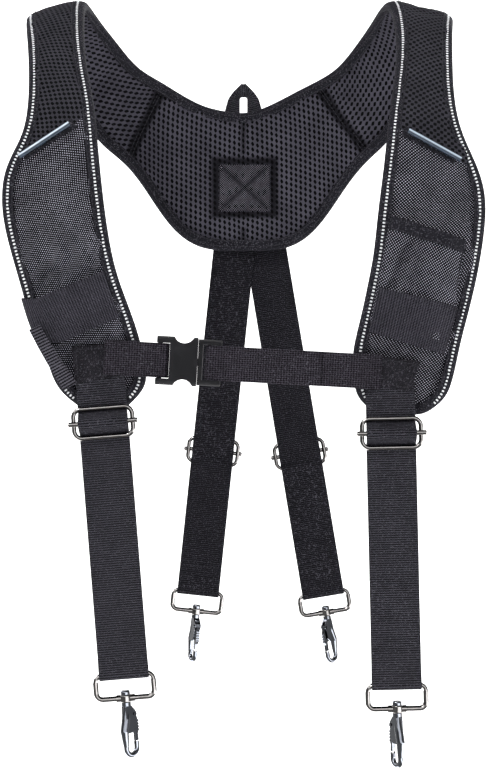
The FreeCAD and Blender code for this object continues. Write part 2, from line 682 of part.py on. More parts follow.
def hook_cheeks():
    """Two flat cheeks, joined above the gate, that hold the gate's pivot."""
    top = HEAD_TOP + 1.0
    outline = [V(-2.4, 0, top), V(2.4, 0, top), V(PIVOT.x + 1.2, 0, PIVOT.z + 2.4),
               V(PIVOT.x + 2.2, 0, PIVOT.z), V(PIVOT.x + 1.2, 0, PIVOT.z - 3.0), V(PIVOT.x + 0.6, 0, top - 17.0),
               V(PIVOT.x - 2.2, 0, top - 20.5), V(-3.0, 0, top - 20.5), V(-3.4, 0, top - 12.0)]
    face = Part.Face(Part.makePolygon(outline + outline[:1]))
    face.translate(V(0, -2.9, 0))
    block = face.extrude(V(0, 5.8, 0))
    upright = [e for e in block.Edges if abs(e.tangentAt(e.FirstParameter).y) > 0.99]
    return block.makeFillet(0.8, upright)


def hook_gate():
    """The sprung gate: its trunnions, ribbed thumb piece and long tongue."""
    x, z = PIVOT.x, PIVOT.z
    tip = NOSE_TOP + 0.5
    outline = [V(x - 1.9, 0, z + 1.6), V(x + 1.4, 0, z + 2.0), V(x + 2.4, 0, z - 0.4), V(x + 3.6, 0, z - 4.4),
               V(x + 3.8, 0, z - 13.6), V(x + 3.0, 0, z - 15.4), V(x + 3.3, 0, tip), V(x + 0.7, 0, tip),
               V(x + 0.7, 0, z - 9.0), V(x - 1.4, 0, z - 4.0), V(x - 2.2, 0, z - 1.0)]
    face = Part.Face(Part.makePolygon(outline + outline[:1]))
    half = SLOT_HALF - 0.25
    face.translate(V(0, -half, 0))
    gate = face.extrude(V(0, 2 * half, 0))
    trunnion = Part.makeCylinder(1.2, 7.2, PIVOT - V(0, 3.6, 0), V(0, 1, 0))
    ribs = [Part.makeCylinder(0.8, 2 * half, V(x + 3.9, -half, z - 5.8 - 2.3 * k), V(0, 1, 0)) for k in range(4)]
    return gate.fuse([trunnion] + ribs).removeSplitter()


def gate_spring():
    """A bent leaf between the hook's back and the gate."""
    x, z = PIVOT.x, PIVOT.z
    leaf = ribbon((x - 2.9, 1.4 + z), [((x - 2.9 + 6.0, z - 2.4), 6.0)], (x - 1.3, z - 6.8), 0.9, "xy", 0.3)
    leaf.rotate(V(0, 0, 0), V(1, 0, 0), 90)
    return leaf


def lay(shape, name, distance):
    """Move an upright part onto a strap, a given distance down from its top."""
    strap = STRAPS[name]
    top, fold = V(*strap["top"]), V(*strap["fold"])
    down = (fold - top).normalize()
    if strap["outward"] > 0:
        shape.rotate(V(0, 0, 0), V(0, 0, 1), 180)
    lean = math.degrees(math.atan2(-down.x, -down.z))
    shape.rotate(V(0, 0, 0), V(0, 1, 0), lean)
    shape.translate(top + down * distance)
    return shape


def make_strap(name):
    strap = STRAPS[name]
    length = V(*strap["top"]).distanceToPoint(V(*strap["fold"]))
    drop = length - strap["adjuster"]
    save(lay(upper_webbing(strap["adjuster"]), name, strap["adjuster"]), name + "_webbing_upper")
    save(lay(loop_webbing(drop), name, strap["adjuster"]), name + "_webbing_loop")
    for make, label in ((adjuster_frame, "_adjuster_frame"), (adjuster_pin, "_adjuster_pin")):
        save(lay(make(), name, strap["adjuster"]), name + label)
    for make, label in ((hook_frame, "_hook_frame"), (hook_body, "_hook_body"),
                        (hook_gate, "_hook_gate"), (gate_spring, "_gate_spring")):
        shape = make()
        if make is not hook_frame:
            shape.rotate(V(0, 0, 0), V(0, 0, 1), strap["turn"])
        shape.translate(V(0, HOOK_BAR_BACK, 0))
        save(lay(shape, name, length), name + label)


make_layers()
make_binding()
make_trims()
make_pad_fittings()
make_chest_straps()
make_buckle()
make_back_fittings()
for strap_name in STRAPS:
    make_strap(strap_name)
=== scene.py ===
"""Padded tool-belt suspenders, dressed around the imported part.

The yoke is a padded band with an outer cover and a spacer-mesh lining, bound along its
edges. Four straps of flat webbing hang from it, each through a slide adjuster and round
the frame of a swivel snap hook. Lengths below are in millimetres unless they say metres.
"""
import math
import random

import bpy
import numpy as np
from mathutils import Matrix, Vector


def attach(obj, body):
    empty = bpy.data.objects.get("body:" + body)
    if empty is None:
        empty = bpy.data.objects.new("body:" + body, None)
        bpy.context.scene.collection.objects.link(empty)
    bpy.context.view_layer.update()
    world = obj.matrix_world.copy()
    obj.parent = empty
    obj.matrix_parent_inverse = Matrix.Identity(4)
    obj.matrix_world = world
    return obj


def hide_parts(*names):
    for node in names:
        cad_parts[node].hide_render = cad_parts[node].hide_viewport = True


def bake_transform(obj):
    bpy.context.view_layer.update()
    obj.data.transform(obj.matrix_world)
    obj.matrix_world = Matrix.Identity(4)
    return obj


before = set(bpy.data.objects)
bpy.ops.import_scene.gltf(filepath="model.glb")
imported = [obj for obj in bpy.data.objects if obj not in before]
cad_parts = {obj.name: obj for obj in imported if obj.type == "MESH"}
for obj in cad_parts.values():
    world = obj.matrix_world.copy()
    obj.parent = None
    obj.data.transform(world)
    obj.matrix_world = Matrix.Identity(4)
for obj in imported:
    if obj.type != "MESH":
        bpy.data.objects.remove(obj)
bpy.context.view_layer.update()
random.seed(7)
MM = 0.001

# Sizes shared with the part ------------------------------------------------------------
WEBBING = 38.0
CHEST_WEBBING = 25.0
WEB_THICK = 1.3
PAD_HALF = 4.5
EDGE_PUFF = 0.62
CROWN = 2.5
INSET = 3.6
TRIM_IN = 5.0
WIRE_R = 1.7
ADJUSTER_HEIGHT = 22.0
PIN_OUT = 2.3
BAR_WRAP = WIRE_R + 0.75 + WEB_THICK / 2
PIN_WRAP = 1.9 + 0.3 + WEB_THICK / 2
LAYER_STEP = WEB_THICK + 0.4
FOLD_SPREAD = 16.0
HOOK_BAR_BACK = BAR_WRAP + LAYER_STEP / 2
GENTLE = 20.0
CHEST_TILT = math.radians(3.1)
BUCKLE_AT = np.array((-41.5, -111.2, -280.5))

LEFT_EDGES = [
    ((-92, -100, -317), (-121, -100, -317)),
    ((-78.5, -101, -303), (-138.5, -101, -303)),
    ((-75, -102, -287), (-149, -103, -280)),
    ((-80, -105, -262), (-160, -106, -252)),
    ((-88, -107, -238), (-169, -107, -222)),
    ((-97, -108, -212), (-177, -109, -193)),
    ((-103, -109, -184), (-182.5, -109, -164)),
    ((-107, -109, -155), (-180, -108, -135)),
    ((-111, -106, -118), (-168.5, -105, -108)),
    ((-115, -99, -84), (-164.5, -97, -79)),
    ((-121, -86, -56), (-166, -84, -53)),
    ((-125.5, -67, -30), (-169.5, -65, -31)),
    ((-128.5, -40, 0), (-174, -40, -11)),
    ((-129, -13, 14), (-177, -12, 1)),
    ((-126.5, 14, 15), (-176, 16, 0)),
    ((-120, 39, 9), (-169, 43, -14)),
    ((-109, 62, -2), (-157, 64, -37)),
    ((-93, 81, -17.5), (-142, 77, -62)),
    ((-74, 91, -28), (-124, 86, -85)),
    ((-60, 95, -36), (-106, 91, -100)),
    ((-45, 98, -44), (-86, 96, -125)),
    ((-29, 99.5, -50), (-62, 99, -158)),
    ((-14, 100, -53), (-37, 100, -174)),
]
MIDDLE_EDGES = ((0, 100, -54), (0, 100, -177))
RIGHT_EDGES = [
    ((103, -100, -320), (138, -100, -320)),
    ((92, -101, -312), (149, -101, -312)),
    ((85, -102, -297), (158, -102, -297)),
    ((84, -105, -273), (164, -104, -270)),
    ((89, -107, -249), (170, -106, -245)),
    ((94, -108, -226), (176, -108, -219)),
    ((99, -109, -199), (181, -109, -190)),
    ((102.5, -109, -168), (183, -109, -160)),
    ((107, -108, -132), (177, -108, -133)),
    ((111, -102, -99), (166, -103, -105)),
    ((116, -88, -69), (162, -90, -74)),
    ((120.5, -67, -36), (163.5, -70, -42)),
    ((121, -42, -5), (167, -45, -14)),
    ((118, -15, 13.5), (171, -15, 0)),
    ((114, 9, 14.5), (171, 11, 0)),
    ((109, 33, 9.5), (166, 38, -11)),
    ((101, 58, 1), (156, 61, -35)),
    ((91, 76, -10), (142, 75, -60)),
    ((79, 87, -20), (126, 85, -83)),
    ((66, 92, -27), (109, 91, -99)),
    ((50, 96, -34.5), (89, 96, -124)),
    ((33, 98.5, -43), (65, 99, -157)),
    ((16, 99.8, -50.5), (39, 100, -174)),
]
SEAM_PAIR = 18
CREST_PAIR = 13

# Where each strap starts and folds, and how far down it its adjuster and its hinge are
STRAPS = {
    "front_left": {"top": (-109.3, -113.6, -286.0), "fold": (-90.7, -113.6, -517.5),
                   "adjuster": 40.5, "hinge": 31.1, "outward": -1},
    "front_right": {"top": (110.8, -113.8, -290.0), "fold": (116.1, -113.8, -525.5),
                    "adjuster": 44.5, "hinge": 30.5, "outward": -1},
    "rear_left": {"top": (-5.3, 111.0, -145.0), "fold": (-40.9, 111.0, -484.0),
                  "adjuster": 214.0, "hinge": 66.0, "outward": 1},
    "rear_right": {"top": (15.1, 112.7, -145.0), "fold": (71.8, 112.7, -485.5),
                   "adjuster": 218.0, "hinge": 67.0, "outward": 1},
}


# Small vector helpers ------------------------------------------------------------------
def unit(v):
    return v / np.maximum(np.linalg.norm(v, axis=-1, keepdims=True), 1e-12)


def along_line(points):
    """The distance of each point along its line, starting at 0."""
    return np.concatenate(([0.0], np.cumsum(np.linalg.norm(np.diff(points, axis=0), axis=1))))


def spread(*values):
    """Values of different shapes side by side in a last axis."""
    return np.stack(np.broadcast_arrays(*values), axis=-1)


def smoothstep(x, low, high):
    x = np.clip((x - low) / (high - low), 0, 1)
    return x * x * (3 - 2 * x)


class Spline:
    """A natural cubic spline through points, by the distance given for each."""

    def __init__(self, points, run):
        self.x, self.y = np.array(run, float), np.array(points, float)
        self.h = np.diff(self.x)
        n = len(run)
        lhs, rhs = np.zeros((n, n)), np.zeros((n, 3))
        lhs[0, 0] = lhs[-1, -1] = 1
        for i in range(1, n - 1):
            before, after = self.h[i - 1], self.h[i]
            lhs[i, i - 1:i + 2] = before, 2 * (before + after), after
            rhs[i] = 6 * ((self.y[i + 1] - self.y[i]) / after
                          - (self.y[i] - self.y[i - 1]) / before)
        self.m = np.linalg.solve(lhs, rhs)

    def at(self, s):
        """(points, tangents) at distances s, of any shape."""
        i = np.clip(np.searchsorted(self.x, s, "right") - 1, 0, len(self.h) - 1)
        h = self.h[i][..., None]
        u, w = (s - self.x[i])[..., None], (self.x[i + 1] - s)[..., None]
        m0, m1, y0, y1 = self.m[i], self.m[i + 1], self.y[i], self.y[i + 1]
        a, b = y0 / h - m0 * h / 6, y1 / h - m1 * h / 6
        return (m0 * w ** 3 + m1 * u ** 3) / (6 * h) + a * w + b * u, \
            (m1 * u ** 2 - m0 * w ** 2) / (2 * h) - a + b


# The yoke's shape ----------------------------------------------------------------------
PAIRS = np.array(LEFT_EDGES + [MIDDLE_EDGES] + RIGHT_EDGES[::-1], float)
MIDDLES = PAIRS.mean(axis=1)
RUN = along_line(MIDDLES)
NECK, ARM = Spline(PAIRS[:, 0], RUN), Spline(PAIRS[:, 1], RUN)
TOTAL = RUN[-1]
LEFT_CREST, RIGHT_CREST = RUN[CREST_PAIR], RUN[-1 - CREST_PAIR]
# The quilted seams lean: their stations at the neck edge and at the arm edge
LEFT_SEAM = RUN[SEAM_PAIR] + np.array((5.0, 22.0))
RIGHT_SEAM = RUN[-1 - SEAM_PAIR] - np.array((22.0, 15.0))


def puff(t):
    """The share of a pad's thickness that is left at t across it."""
    return EDGE_PUFF + (1 - EDGE_PUFF) * np.sqrt(np.clip(4 * t * (1 - t), 0, 1))


def yoke(s, t, h):
    """(points, outward normals) s along the yoke, t across from neck to arm, h outwards."""
    s, t, h = np.broadcast_arrays(*(np.asarray(value, float) for value in (s, t, h)))
    neck, neck_way = NECK.at(s)
    arm, arm_way = ARM.at(s)
    across = arm - neck
    along = unit(neck_way) * (1 - t)[..., None] + unit(arm_way) * t[..., None]
    out = unit(np.cross(along, across))
    return neck + across * t[..., None] + out * (CROWN * 4 * t * (1 - t) + h)[..., None], out


def yoke_width(s):
    return np.linalg.norm(ARM.at(s)[0] - NECK.at(s)[0], axis=-1)


def pad_station(x, z):
    """(s, t) on the outer face of a front pad at x, z."""
    x, z = np.broadcast_arrays(np.asarray(x, float), np.asarray(z, float))
    s, t = np.where(x < 0, 110.0, TOTAL - 110.0), np.full(x.shape, 0.5)
    step = 0.01
    for _ in range(14):
        here = yoke(s, t, PAD_HALF)[0]
        by_s = (yoke(s + step, t, PAD_HALF)[0] - here) / step
        by_t = (yoke(s, t + step, PAD_HALF)[0] - here) / step
        dx, dz = x - here[..., 0], z - here[..., 2]
        det = by_s[..., 0] * by_t[..., 2] - by_s[..., 2] * by_t[..., 0]
        s = s + (dx * by_t[..., 2] - dz * by_t[..., 0]) / det
        t = t + (dz * by_s[..., 0] - dx * by_s[..., 2]) / det
    return s, t


def on_pad(x, z, rise):
    """(points, normals) a given height off the outer face of a front pad."""
    s, t = pad_station(x, z)
    return yoke(s, t, PAD_HALF * puff(np.clip(t, 0, 1)) + rise)


# Mesh making ---------------------------------------------------------------------------
def inside_out(mesh):
    """True for a closed mesh whose faces look inwards, from the sign of its volume."""
    mesh.calc_loop_triangles()
    corners = np.empty(len(mesh.loop_triangles) * 3, int)
    mesh.loop_triangles.foreach_get("vertices", corners)
    a, b, c = np.moveaxis(vertex_values(mesh, "co")[corners.reshape(-1, 3)], 1, 0)
    return float(np.sum(a * np.cross(b, c))) < 0


def make_mesh(name, verts, faces, uvs=None, materials=()):
    """An object from millimetre points. uvs gives one pair per vertex, in metres."""
    mesh = bpy.data.meshes.new(name)
    mesh.from_pydata([tuple(v) for v in np.asarray(verts) * MM], [], [tuple(f) for f in faces])
    if uvs is not None:
        layer = mesh.uv_layers.new(name="UVMap")
        index = np.empty(len(mesh.loops), int)
        mesh.loops.foreach_get("vertex_index", index)
        layer.data.foreach_set("uv", np.asarray(uvs, float)[index].ravel())
    for material in materials:
        mesh.materials.append(material)
    mesh.polygons.foreach_set("use_smooth", [True] * len(mesh.polygons))
    if inside_out(mesh):
        mesh.flip_normals()
    mesh.update()
    obj = bpy.data.objects.new(name, mesh)
    bpy.context.scene.collection.objects.link(obj)
    return obj


def grid_quads(rows, columns, offset=0, flip=False):
    r, c = np.meshgrid(np.arange(rows - 1), np.arange(columns - 1), indexing="ij")
    a = (offset + r * columns + c).ravel()
    quads = np.stack((a, a + 1, a + columns + 1, a + columns), axis=1)
    return quads[:, ::-1] if flip else quads


def slab_mesh(name, top, bottom, uv, materials):
    """A closed piece between two grids of points, with a crowned wall round its rim."""
    rows, columns = top.shape[:2]
    count = rows * columns
    rim = [(0, c) for c in range(columns)] + [(r, columns - 1) for r in range(1, rows)]
    rim += [(rows - 1, c) for c in range(columns - 2, -1, -1)]
    rim += [(r, 0) for r in range(rows - 2, 0, -1)]
    rim = np.array([r * columns + c for r, c in rim])
    after = np.roll(rim, -1)
    walls = np.stack((rim, rim + count, after + count, after), axis=1)
    sheets = grid_quads(rows, columns), grid_quads(rows, columns, count, True)
    faces = np.concatenate((*sheets, walls))
    verts = np.concatenate((top.reshape(-1, 3), bottom.reshape(-1, 3)))
    uvs = np.concatenate((uv.reshape(-1, 2), uv.reshape(-1, 2)))
    return make_mesh(name, verts, faces, uvs, materials), rim, count


def vertex_values(mesh, key):
    """The "co" or "normal" of each vertex of a mesh."""
    values = np.empty(len(mesh.vertices) * 3)
    mesh.vertices.foreach_get(key, values)
    return values.reshape(-1, 3)


def coordinates(obj):
    return vertex_values(obj.data, "co")


def set_coordinates(obj, co):
    obj.data.vertices.foreach_set("co", np.asarray(co).ravel())
    obj.data.update()


def apply_modifiers(obj):
    view = bpy.context.evaluated_depsgraph_get()
    mesh = bpy.data.meshes.new_from_object(obj.evaluated_get(view), depsgraph=view)
    obj.modifiers.clear()
    old = obj.data
    obj.data = mesh
    bpy.data.meshes.remove(old)


def subdivide(obj):
    obj.modifiers.new("subdivide", "SUBSURF").levels = 1
    apply_modifiers(obj)


def swell(obj, held, cap):
    """Cloth that swells under pressure between its held points, by at most cap metres."""
    rest = coordinates(obj)
    group = obj.vertex_groups.new(name="held")
    group.add([int(i) for i in held], 1.0, "REPLACE")
    cloth = obj.modifiers.new("swell", "CLOTH")
    settings = cloth.settings
    settings.vertex_group_mass = "held"
    settings.use_pressure = True
    settings.uniform_pressure_force = 4.0
    settings.effector_weights.gravity = 0
    settings.shrink_min = -0.03
    settings.quality = 4
    cloth.point_cache.frame_start = 1
    cloth.point_cache.frame_end = 20
    scene = bpy.context.scene
    for number in range(1, 21):
        scene.frame_set(number)
    view = bpy.context.evaluated_depsgraph_get()
    mesh = bpy.data.meshes.new_from_object(obj.evaluated_get(view))
    move = vertex_values(mesh, "co") - rest
    bpy.data.meshes.remove(mesh)
    obj.modifiers.clear()
    obj.vertex_groups.clear()
    scene.frame_set(1)
    far = np.maximum(np.linalg.norm(move, axis=1, keepdims=True), 1e-12)
    set_coordinates(obj, rest + move * np.minimum(1, cap / far))


def displace(obj, amount):
    """Move each point along its normal by amount(point in mm, normal) millimetres."""
    co, way = coordinates(obj), vertex_values(obj.data, "normal")
    set_coordinates(obj, co + way * (amount(co / MM, way) * MM)[:, None])


def wander(points, scale, seed):
    """Smooth noise from -1 to 1 with bumps about scale millimetres across."""
    rng = np.random.default_rng(seed)
    total = np.zeros(len(points))
    for _ in range(7):
        way = rng.normal(size=3)
        way *= 2 * math.pi / scale * rng.uniform(0.6, 1.5) / np.linalg.norm(way)
        total += np.sin(points @ way + rng.uniform(0, 6.28))
    return total / 4


# Materials -----------------------------------------------------------------------------
def srgb(r, g, b):
    return tuple(((c / 255 + 0.055) / 1.055) ** 2.4 if c > 10 else c / 255 / 12.92
                 for c in (r, g, b)) + (1.0,)


class Shader:
    """A node material, with its maths written as method calls."""

    def __init__(self, name):
        self.material = bpy.data.materials.new(name)
        self.material.use_nodes = True
        self.tree = self.material.node_tree
        self.surface = self.tree.nodes["Principled BSDF"]

    def node(self, kind, **values):
        node = self.tree.nodes.new(kind)
        for key, value in values.items():
            setattr(node, key, value)
        return node

    def plug(self, value, socket):
        if isinstance(value, bpy.types.NodeSocket):
            self.tree.links.new(value, socket)
        else:
            socket.default_value = value

    def math(self, operation, *values):
        node = self.node("ShaderNodeMath", operation=operation)
        for value, socket in zip(values, node.inputs):
            self.plug(value, socket)
        return node.outputs[0]

    def uv(self):
        """u and v of the piece's own map, in millimetres."""
        split = self.node("ShaderNodeSeparateXYZ")
        own_map = self.node("ShaderNodeUVMap", uv_map="UVMap").outputs[0]
        self.plug(self.in_mm(own_map), split.inputs[0])
        return split.outputs[0], split.outputs[1]

    def place(self):
        """The point on the object, in millimetres."""
        return self.in_mm(self.node("ShaderNodeTexCoord").outputs["Object"])

    def painted(self, name):
        """A value that paint() stored on the piece."""
        return self.node("ShaderNodeAttribute", attribute_name=name).outputs["Fac"]

    def times(self, value, by):
        return self.math("MULTIPLY", value, by)

    def plus(self, value, more):
        return self.math("ADD", value, more)

    def linear(self, value, slope, start):
        return self.math("MULTIPLY_ADD", value, slope, start)

    def wave(self, value, pitch):
        """A cosine of a length in millimetres, from -1 to 1."""
        return self.math("COSINE", self.linear(value, 2 * math.pi / pitch, 0.0))

    def facing(self):
        """The x, y and z of the surface's own direction."""
        split = self.node("ShaderNodeSeparateXYZ")
        self.plug(self.node("ShaderNodeTexCoord").outputs["Normal"], split.inputs[0])
        return split.outputs

    def in_mm(self, vector):
        scale = self.node("ShaderNodeVectorMath", operation="SCALE")
        self.plug(vector, scale.inputs[0])
        scale.inputs["Scale"].default_value = 1 / MM
        return scale.outputs[0]

    def noise(self, size, detail=3.0, point=None):
        """Noise from 0 to 1 with features about size millimetres across."""
        node = self.node("ShaderNodeTexNoise")
        self.plug(point or self.place(), node.inputs["Vector"])
        node.inputs["Scale"].default_value = 1 / size
        node.inputs["Detail"].default_value = detail
        node.inputs["Roughness"].default_value = 0.55
        return node.outputs["Fac"]

    def band(self, value, low, high, to_low=0.0, to_high=1.0):
        node = self.node("ShaderNodeMapRange", interpolation_type="SMOOTHSTEP")
        for number, entry in enumerate((value, low, high, to_low, to_high)):
            self.plug(entry, node.inputs[number])
        return node.outputs[0]

    def mix(self, share, first, second):
        node = self.node("ShaderNodeMix", data_type="RGBA")
        self.plug(share, node.inputs[0])
        self.plug(first, node.inputs[6])
        self.plug(second, node.inputs[7])
        return node.outputs[2]

    def relief(self, height, depth):
        """A bump whose full height is depth millimetres."""
        node = self.node("ShaderNodeBump")
        node.inputs["Distance"].default_value = depth * MM
        node.inputs["Strength"].default_value = 1.0
        self.plug(height, node.inputs["Height"])
        return node.outputs[0]

    def finish(self, colour, roughness, normal=None, **fixed):
        self.plug(colour, self.surface.inputs["Base Color"])
        self.plug(roughness, self.surface.inputs["Roughness"])
        if normal is not None:
            self.plug(normal, self.surface.inputs["Normal"])
        for name, value in fixed.items():
            self.surface.inputs[name.replace("_", " ")].default_value = value
        return self.material


def webbing_material(name, dark, light, pitch=1.75, yarn=1.9, lean=0.45, depth=0.4,
                     gloss=0.55, rows=0.25, flecks=0.2):
    """Flat woven webbing: ribs across it, yarns along it, and fibres that catch the light.

    rows is the share of the fine yarns in its relief, and flecks that of the bright fibres.
    """
    s = Shader(name)
    u, v = s.uv()
    turn = s.plus(s.times(v, 2 * math.pi / pitch), s.times(s.wave(u, yarn), lean))
    rib = s.linear(s.math("COSINE", turn), 0.5, 0.5)
    fine = s.linear(s.wave(u, yarn / 2), 0.5, 0.5)
    grain = s.noise(0.7, 2.0)
    broad = s.noise(18.0, 3.0)
    height = s.plus(s.times(rib, 1 - rows), s.times(fine, rows))
    height = s.plus(height, s.times(grain, 0.3))
    tone = s.times(s.band(height, 0.3, 1.15), s.linear(broad, 1.1, 0.45))
    tone = s.times(tone, s.linear(grain, 0.9, 0.55))
    colour = s.mix(tone, srgb(*dark), srgb(*light))
    caught = s.times(s.band(s.noise(1.1, 1.0), 0.56, 0.72), flecks)
    colour = s.mix(caught, colour, srgb(138, 136, 147))
    rough = s.linear(grain, 0.2, gloss)
    return s.finish(colour, rough, s.relief(height, depth), Specular_IOR_Level=0.07)


def mesh_fabric(name, hole_pitch, threshold, dark, light, depth, fleck_pitch, fleck, tall=False):
    """Knitted mesh with staggered holes, darker wherever its "press_and_shade" attribute is 1:
    partly the mesh pressed shut in seams and hollows, partly painted shade there. It is a tight mesh
    with shiny flecks where its "zone" attribute is 0, and open where it is 1."""
    s = Shader(name)
    u, v = s.uv()

    def lattice(across, along):
        both = s.times(s.wave(u, across), s.wave(v, along))
        return s.linear(both, 0.5, 0.5)

    def upright(across, along, lean=0.3):
        moved = s.linear(u, lean * along / across, v)
        return s.linear(s.wave(u, across), 0.28, s.linear(s.wave(moved, along), 0.22, 0.5))

    grain = s.noise(0.6, 2.0)
    broad = s.noise(24.0, 3.0)
    holes = upright(*hole_pitch) if tall else lattice(*hole_pitch)
    net = s.band(holes, threshold - 0.07, threshold + 0.07, 1.0, 0.0)
    yarns = s.linear(s.wave(s.plus(u, v), 0.9), 0.12, 0.88)
    weave = lattice(*fleck_pitch)
    share = s.band(s.painted("zone"), 0.45, 0.55)
    rest = s.math("SUBTRACT", 1.0, share)
    # Seams and hollows darken to 15%: partly mesh pressed shut, partly painted shade.
    after_press_and_shade = s.linear(s.painted("press_and_shade"), -0.85, 1.0)
    net = s.times(net, yarns)
    height = s.plus(s.times(net, share), s.times(weave, rest))
    tone = s.times(s.times(net, share), after_press_and_shade)
    tone = s.times(tone, s.linear(broad, 1.1, 0.4))
    tone = s.times(tone, s.linear(grain, 0.9, 0.55))
    colour = s.mix(tone, srgb(*dark), srgb(*light))
    shine = s.times(s.band(weave, 0.68, 0.95), s.linear(grain, 0.6, 0.65))
    shine = s.times(s.times(shine, rest), s.linear(broad, 1.2, 0.3))
    colour = s.mix(s.times(shine, after_press_and_shade), colour, srgb(*fleck))
    rough = s.linear(grain, 0.2, 0.6)
    return s.finish(colour, rough, s.relief(height, depth), Specular_IOR_Level=0.07)


def metal(name, tint, low, high):
    """Plated metal: slightly uneven plating, fine scratches and faint polish marks, with painted
    reflection bands that follow which way the surface faces.
    """
    s = Shader(name)
    spot = s.place()
    broad = s.noise(5.0, 4.0, spot)
    fine = s.noise(0.35, 3.0, spot)
    stretch = s.node("ShaderNodeMapping")
    s.plug(spot, stretch.inputs["Vector"])
    stretch.inputs["Scale"].default_value = (6.0, 6.0, 0.4)
    scratch = s.band(s.noise(1.2, 2.0, stretch.outputs[0]), 0.62, 0.7)
    rough = s.plus(s.linear(broad, high - low, low), s.times(scratch, 0.08))
    # Painted reflection: the colour swings between a near-black and the full tint with the surface's
    # direction, as if a studio were reflected in it.
    facing = s.facing()
    reflection_phase = s.linear(facing[2], 5.4, s.times(facing[0], 3.4))
    painted_reflection = s.linear(s.math("SINE", s.plus(reflection_phase, broad)), 0.5, 0.5)
    dark = tuple(c * 0.05 for c in tint[:3]) + (1.0,)
    colour = s.mix(s.band(painted_reflection, 0.62, 0.99), dark, tint)
    height = s.math("SUBTRACT", s.times(fine, 0.5), s.times(scratch, 0.5))
    return s.finish(colour, rough, s.relief(height, 0.012), Metallic=1.0)


def moulded(name, tint, rough_at, depth, coat, painted_highlight=None):
    """Moulded plastic with a fine grain and handling marks, and a painted highlight band where the
    surface faces partly upwards, if a colour for it is given.
    """
    s = Shader(name)
    spot = s.place()
    grain = s.noise(0.25, 2.0, spot)
    broad = s.noise(7.0, 4.0, spot)
    rough = s.plus(s.linear(broad, 0.16, rough_at), s.times(grain, 0.06))
    light = tuple(min(1.0, c * 1.7 + 0.004) for c in tint[:3]) + (1.0,)
    colour = s.mix(s.band(broad, 0.45, 0.85), tint, light)
    if painted_highlight is not None:
        # Painted highlight: a pale band where the surface faces about halfway up.
        off = s.math("ABSOLUTE", s.math("SUBTRACT", s.facing()[2], 0.42))
        colour = s.mix(s.band(off, 0.08, 0.55, 1.0, 0.0), colour, painted_highlight)
    return s.finish(colour, rough, s.relief(grain, depth), Coat_Weight=coat, Coat_Roughness=0.2,
                    Specular_IOR_Level=0.2)


def thread_material(name, tint):
    s = Shader(name)
    spot = s.place()
    twist = s.noise(0.4, 2.0, spot)
    dark = tuple(c * 0.45 for c in tint[:3]) + (1.0,)
    return s.finish(s.mix(twist, dark, tint), s.linear(twist, 0.2, 0.5), s.relief(twist, 0.08),
                    Specular_IOR_Level=0.2)


def reflective_material(name):
    """Silvery retroreflective piping with its fine embossed grid."""
    s = Shader(name)
    u, v = s.uv()
    grid = s.linear(s.times(s.wave(u, 0.5), s.wave(v, 0.5)), 0.5, 0.5)
    wear = s.noise(3.0, 3.0)
    tone = s.plus(s.times(grid, 0.25), s.times(wear, 0.75))
    colour = s.mix(s.band(tone, 0.2, 0.8), srgb(196, 199, 204), srgb(252, 252, 252))
    return s.finish(colour, s.linear(wear, 0.2, 0.32), s.relief(grid, 0.04),
                    Specular_IOR_Level=0.7)


COVER = mesh_fabric("cover_mesh", (5.2, 5.0), 0.56, (4, 4, 6), (58, 57, 64), 0.6,
                    (2.5, 2.2), (206, 204, 219))
LINING = mesh_fabric("spacer_lining", (4.3, 4.9), 0.6, (2, 2, 4), (80, 78, 88), 0.9,
                     (2.1, 1.9), (184, 180, 196), tall=True)
WEB = webbing_material("strap_webbing", (8, 8, 10), (62, 61, 68))
# A darker copy of the strap webbing for the rear straps: painted shade, for the shade they hang in
# behind the yoke.
SHADED_REAR_WEB = webbing_material("rear_strap_webbing_painted_shade", (3, 3, 5), (36, 35, 41))
CHEST_WEB = webbing_material("chest_webbing", (5, 4, 7), (60, 56, 64), 2.0, 3.2, 0.5, 0.5,
                             rows=0.55)
FINE_WEB = webbing_material("binding_tape", (7, 7, 10), (44, 43, 50), 0.9, 1.1, 0.8, 0.25, 0.6,
                            flecks=0.3)
RIBBED = webbing_material("pad_webbing", (3, 3, 5), (72, 70, 79), 2.0, 2.2, 0.5, 0.45, 0.6,
                          rows=0.5, flecks=0.12)
LOOP_WEB = webbing_material("tool_loop_webbing", (4, 4, 6), (88, 86, 95), 2.3, 3.0, 0.2, 0.7, 0.6,
                            flecks=0.15)
FELT = webbing_material("stitched_patch", (6, 6, 8), (54, 52, 58), 1.4, 1.7, 2.4, 0.6, 0.7,
                        rows=0.6, flecks=0.3)
# Both metals carry the painted reflection bands of metal().
STEEL = metal("nickel_painted_reflection", (0.72, 0.69, 0.67, 1.0), 0.10, 0.22)
CHROME = metal("blued_chrome", (0.58, 0.61, 0.68, 1.0), 0.08, 0.20)
# The hanger tubes: glossy plastic with a painted highlight band (the last colour).
TUBE = moulded("tube_plastic", srgb(30, 46, 62), 0.08, 0.01, 1.0, srgb(176, 190, 204))
BUCKLE = moulded("buckle_plastic", srgb(15, 15, 18), 0.34, 0.03, 0.05)
THREAD = thread_material("black_thread", srgb(52, 51, 58))
SILVER = reflective_material("reflective_silver")


# The padded yoke -----------------------------------------------------------------------
def tube_line(x, z):
    """How far above the line of the nearest hanger tube a point lies, in millimetres."""
    left = (z + 126.5) - (x + 169.0) * (24.5 / 37.5)
    right = (z + 107.5) + (x - 124.5) * (21.5 / 39.0)
    return np.where(x < 0, left, right) * 0.84


def seam_at(ends, t):
    """The station of a leaning seam at t across the yoke."""
    return ends[0] * (1 - t) + ends[1] * t


def seam_channel(s, t):
    """How much of the padding is left near the two quilted seams."""
    near = np.minimum(np.abs(s - seam_at(LEFT_SEAM, t)), np.abs(s - seam_at(RIGHT_SEAM, t)))
    return 1 - 0.7 * np.exp(-(near / 4.5) ** 2)


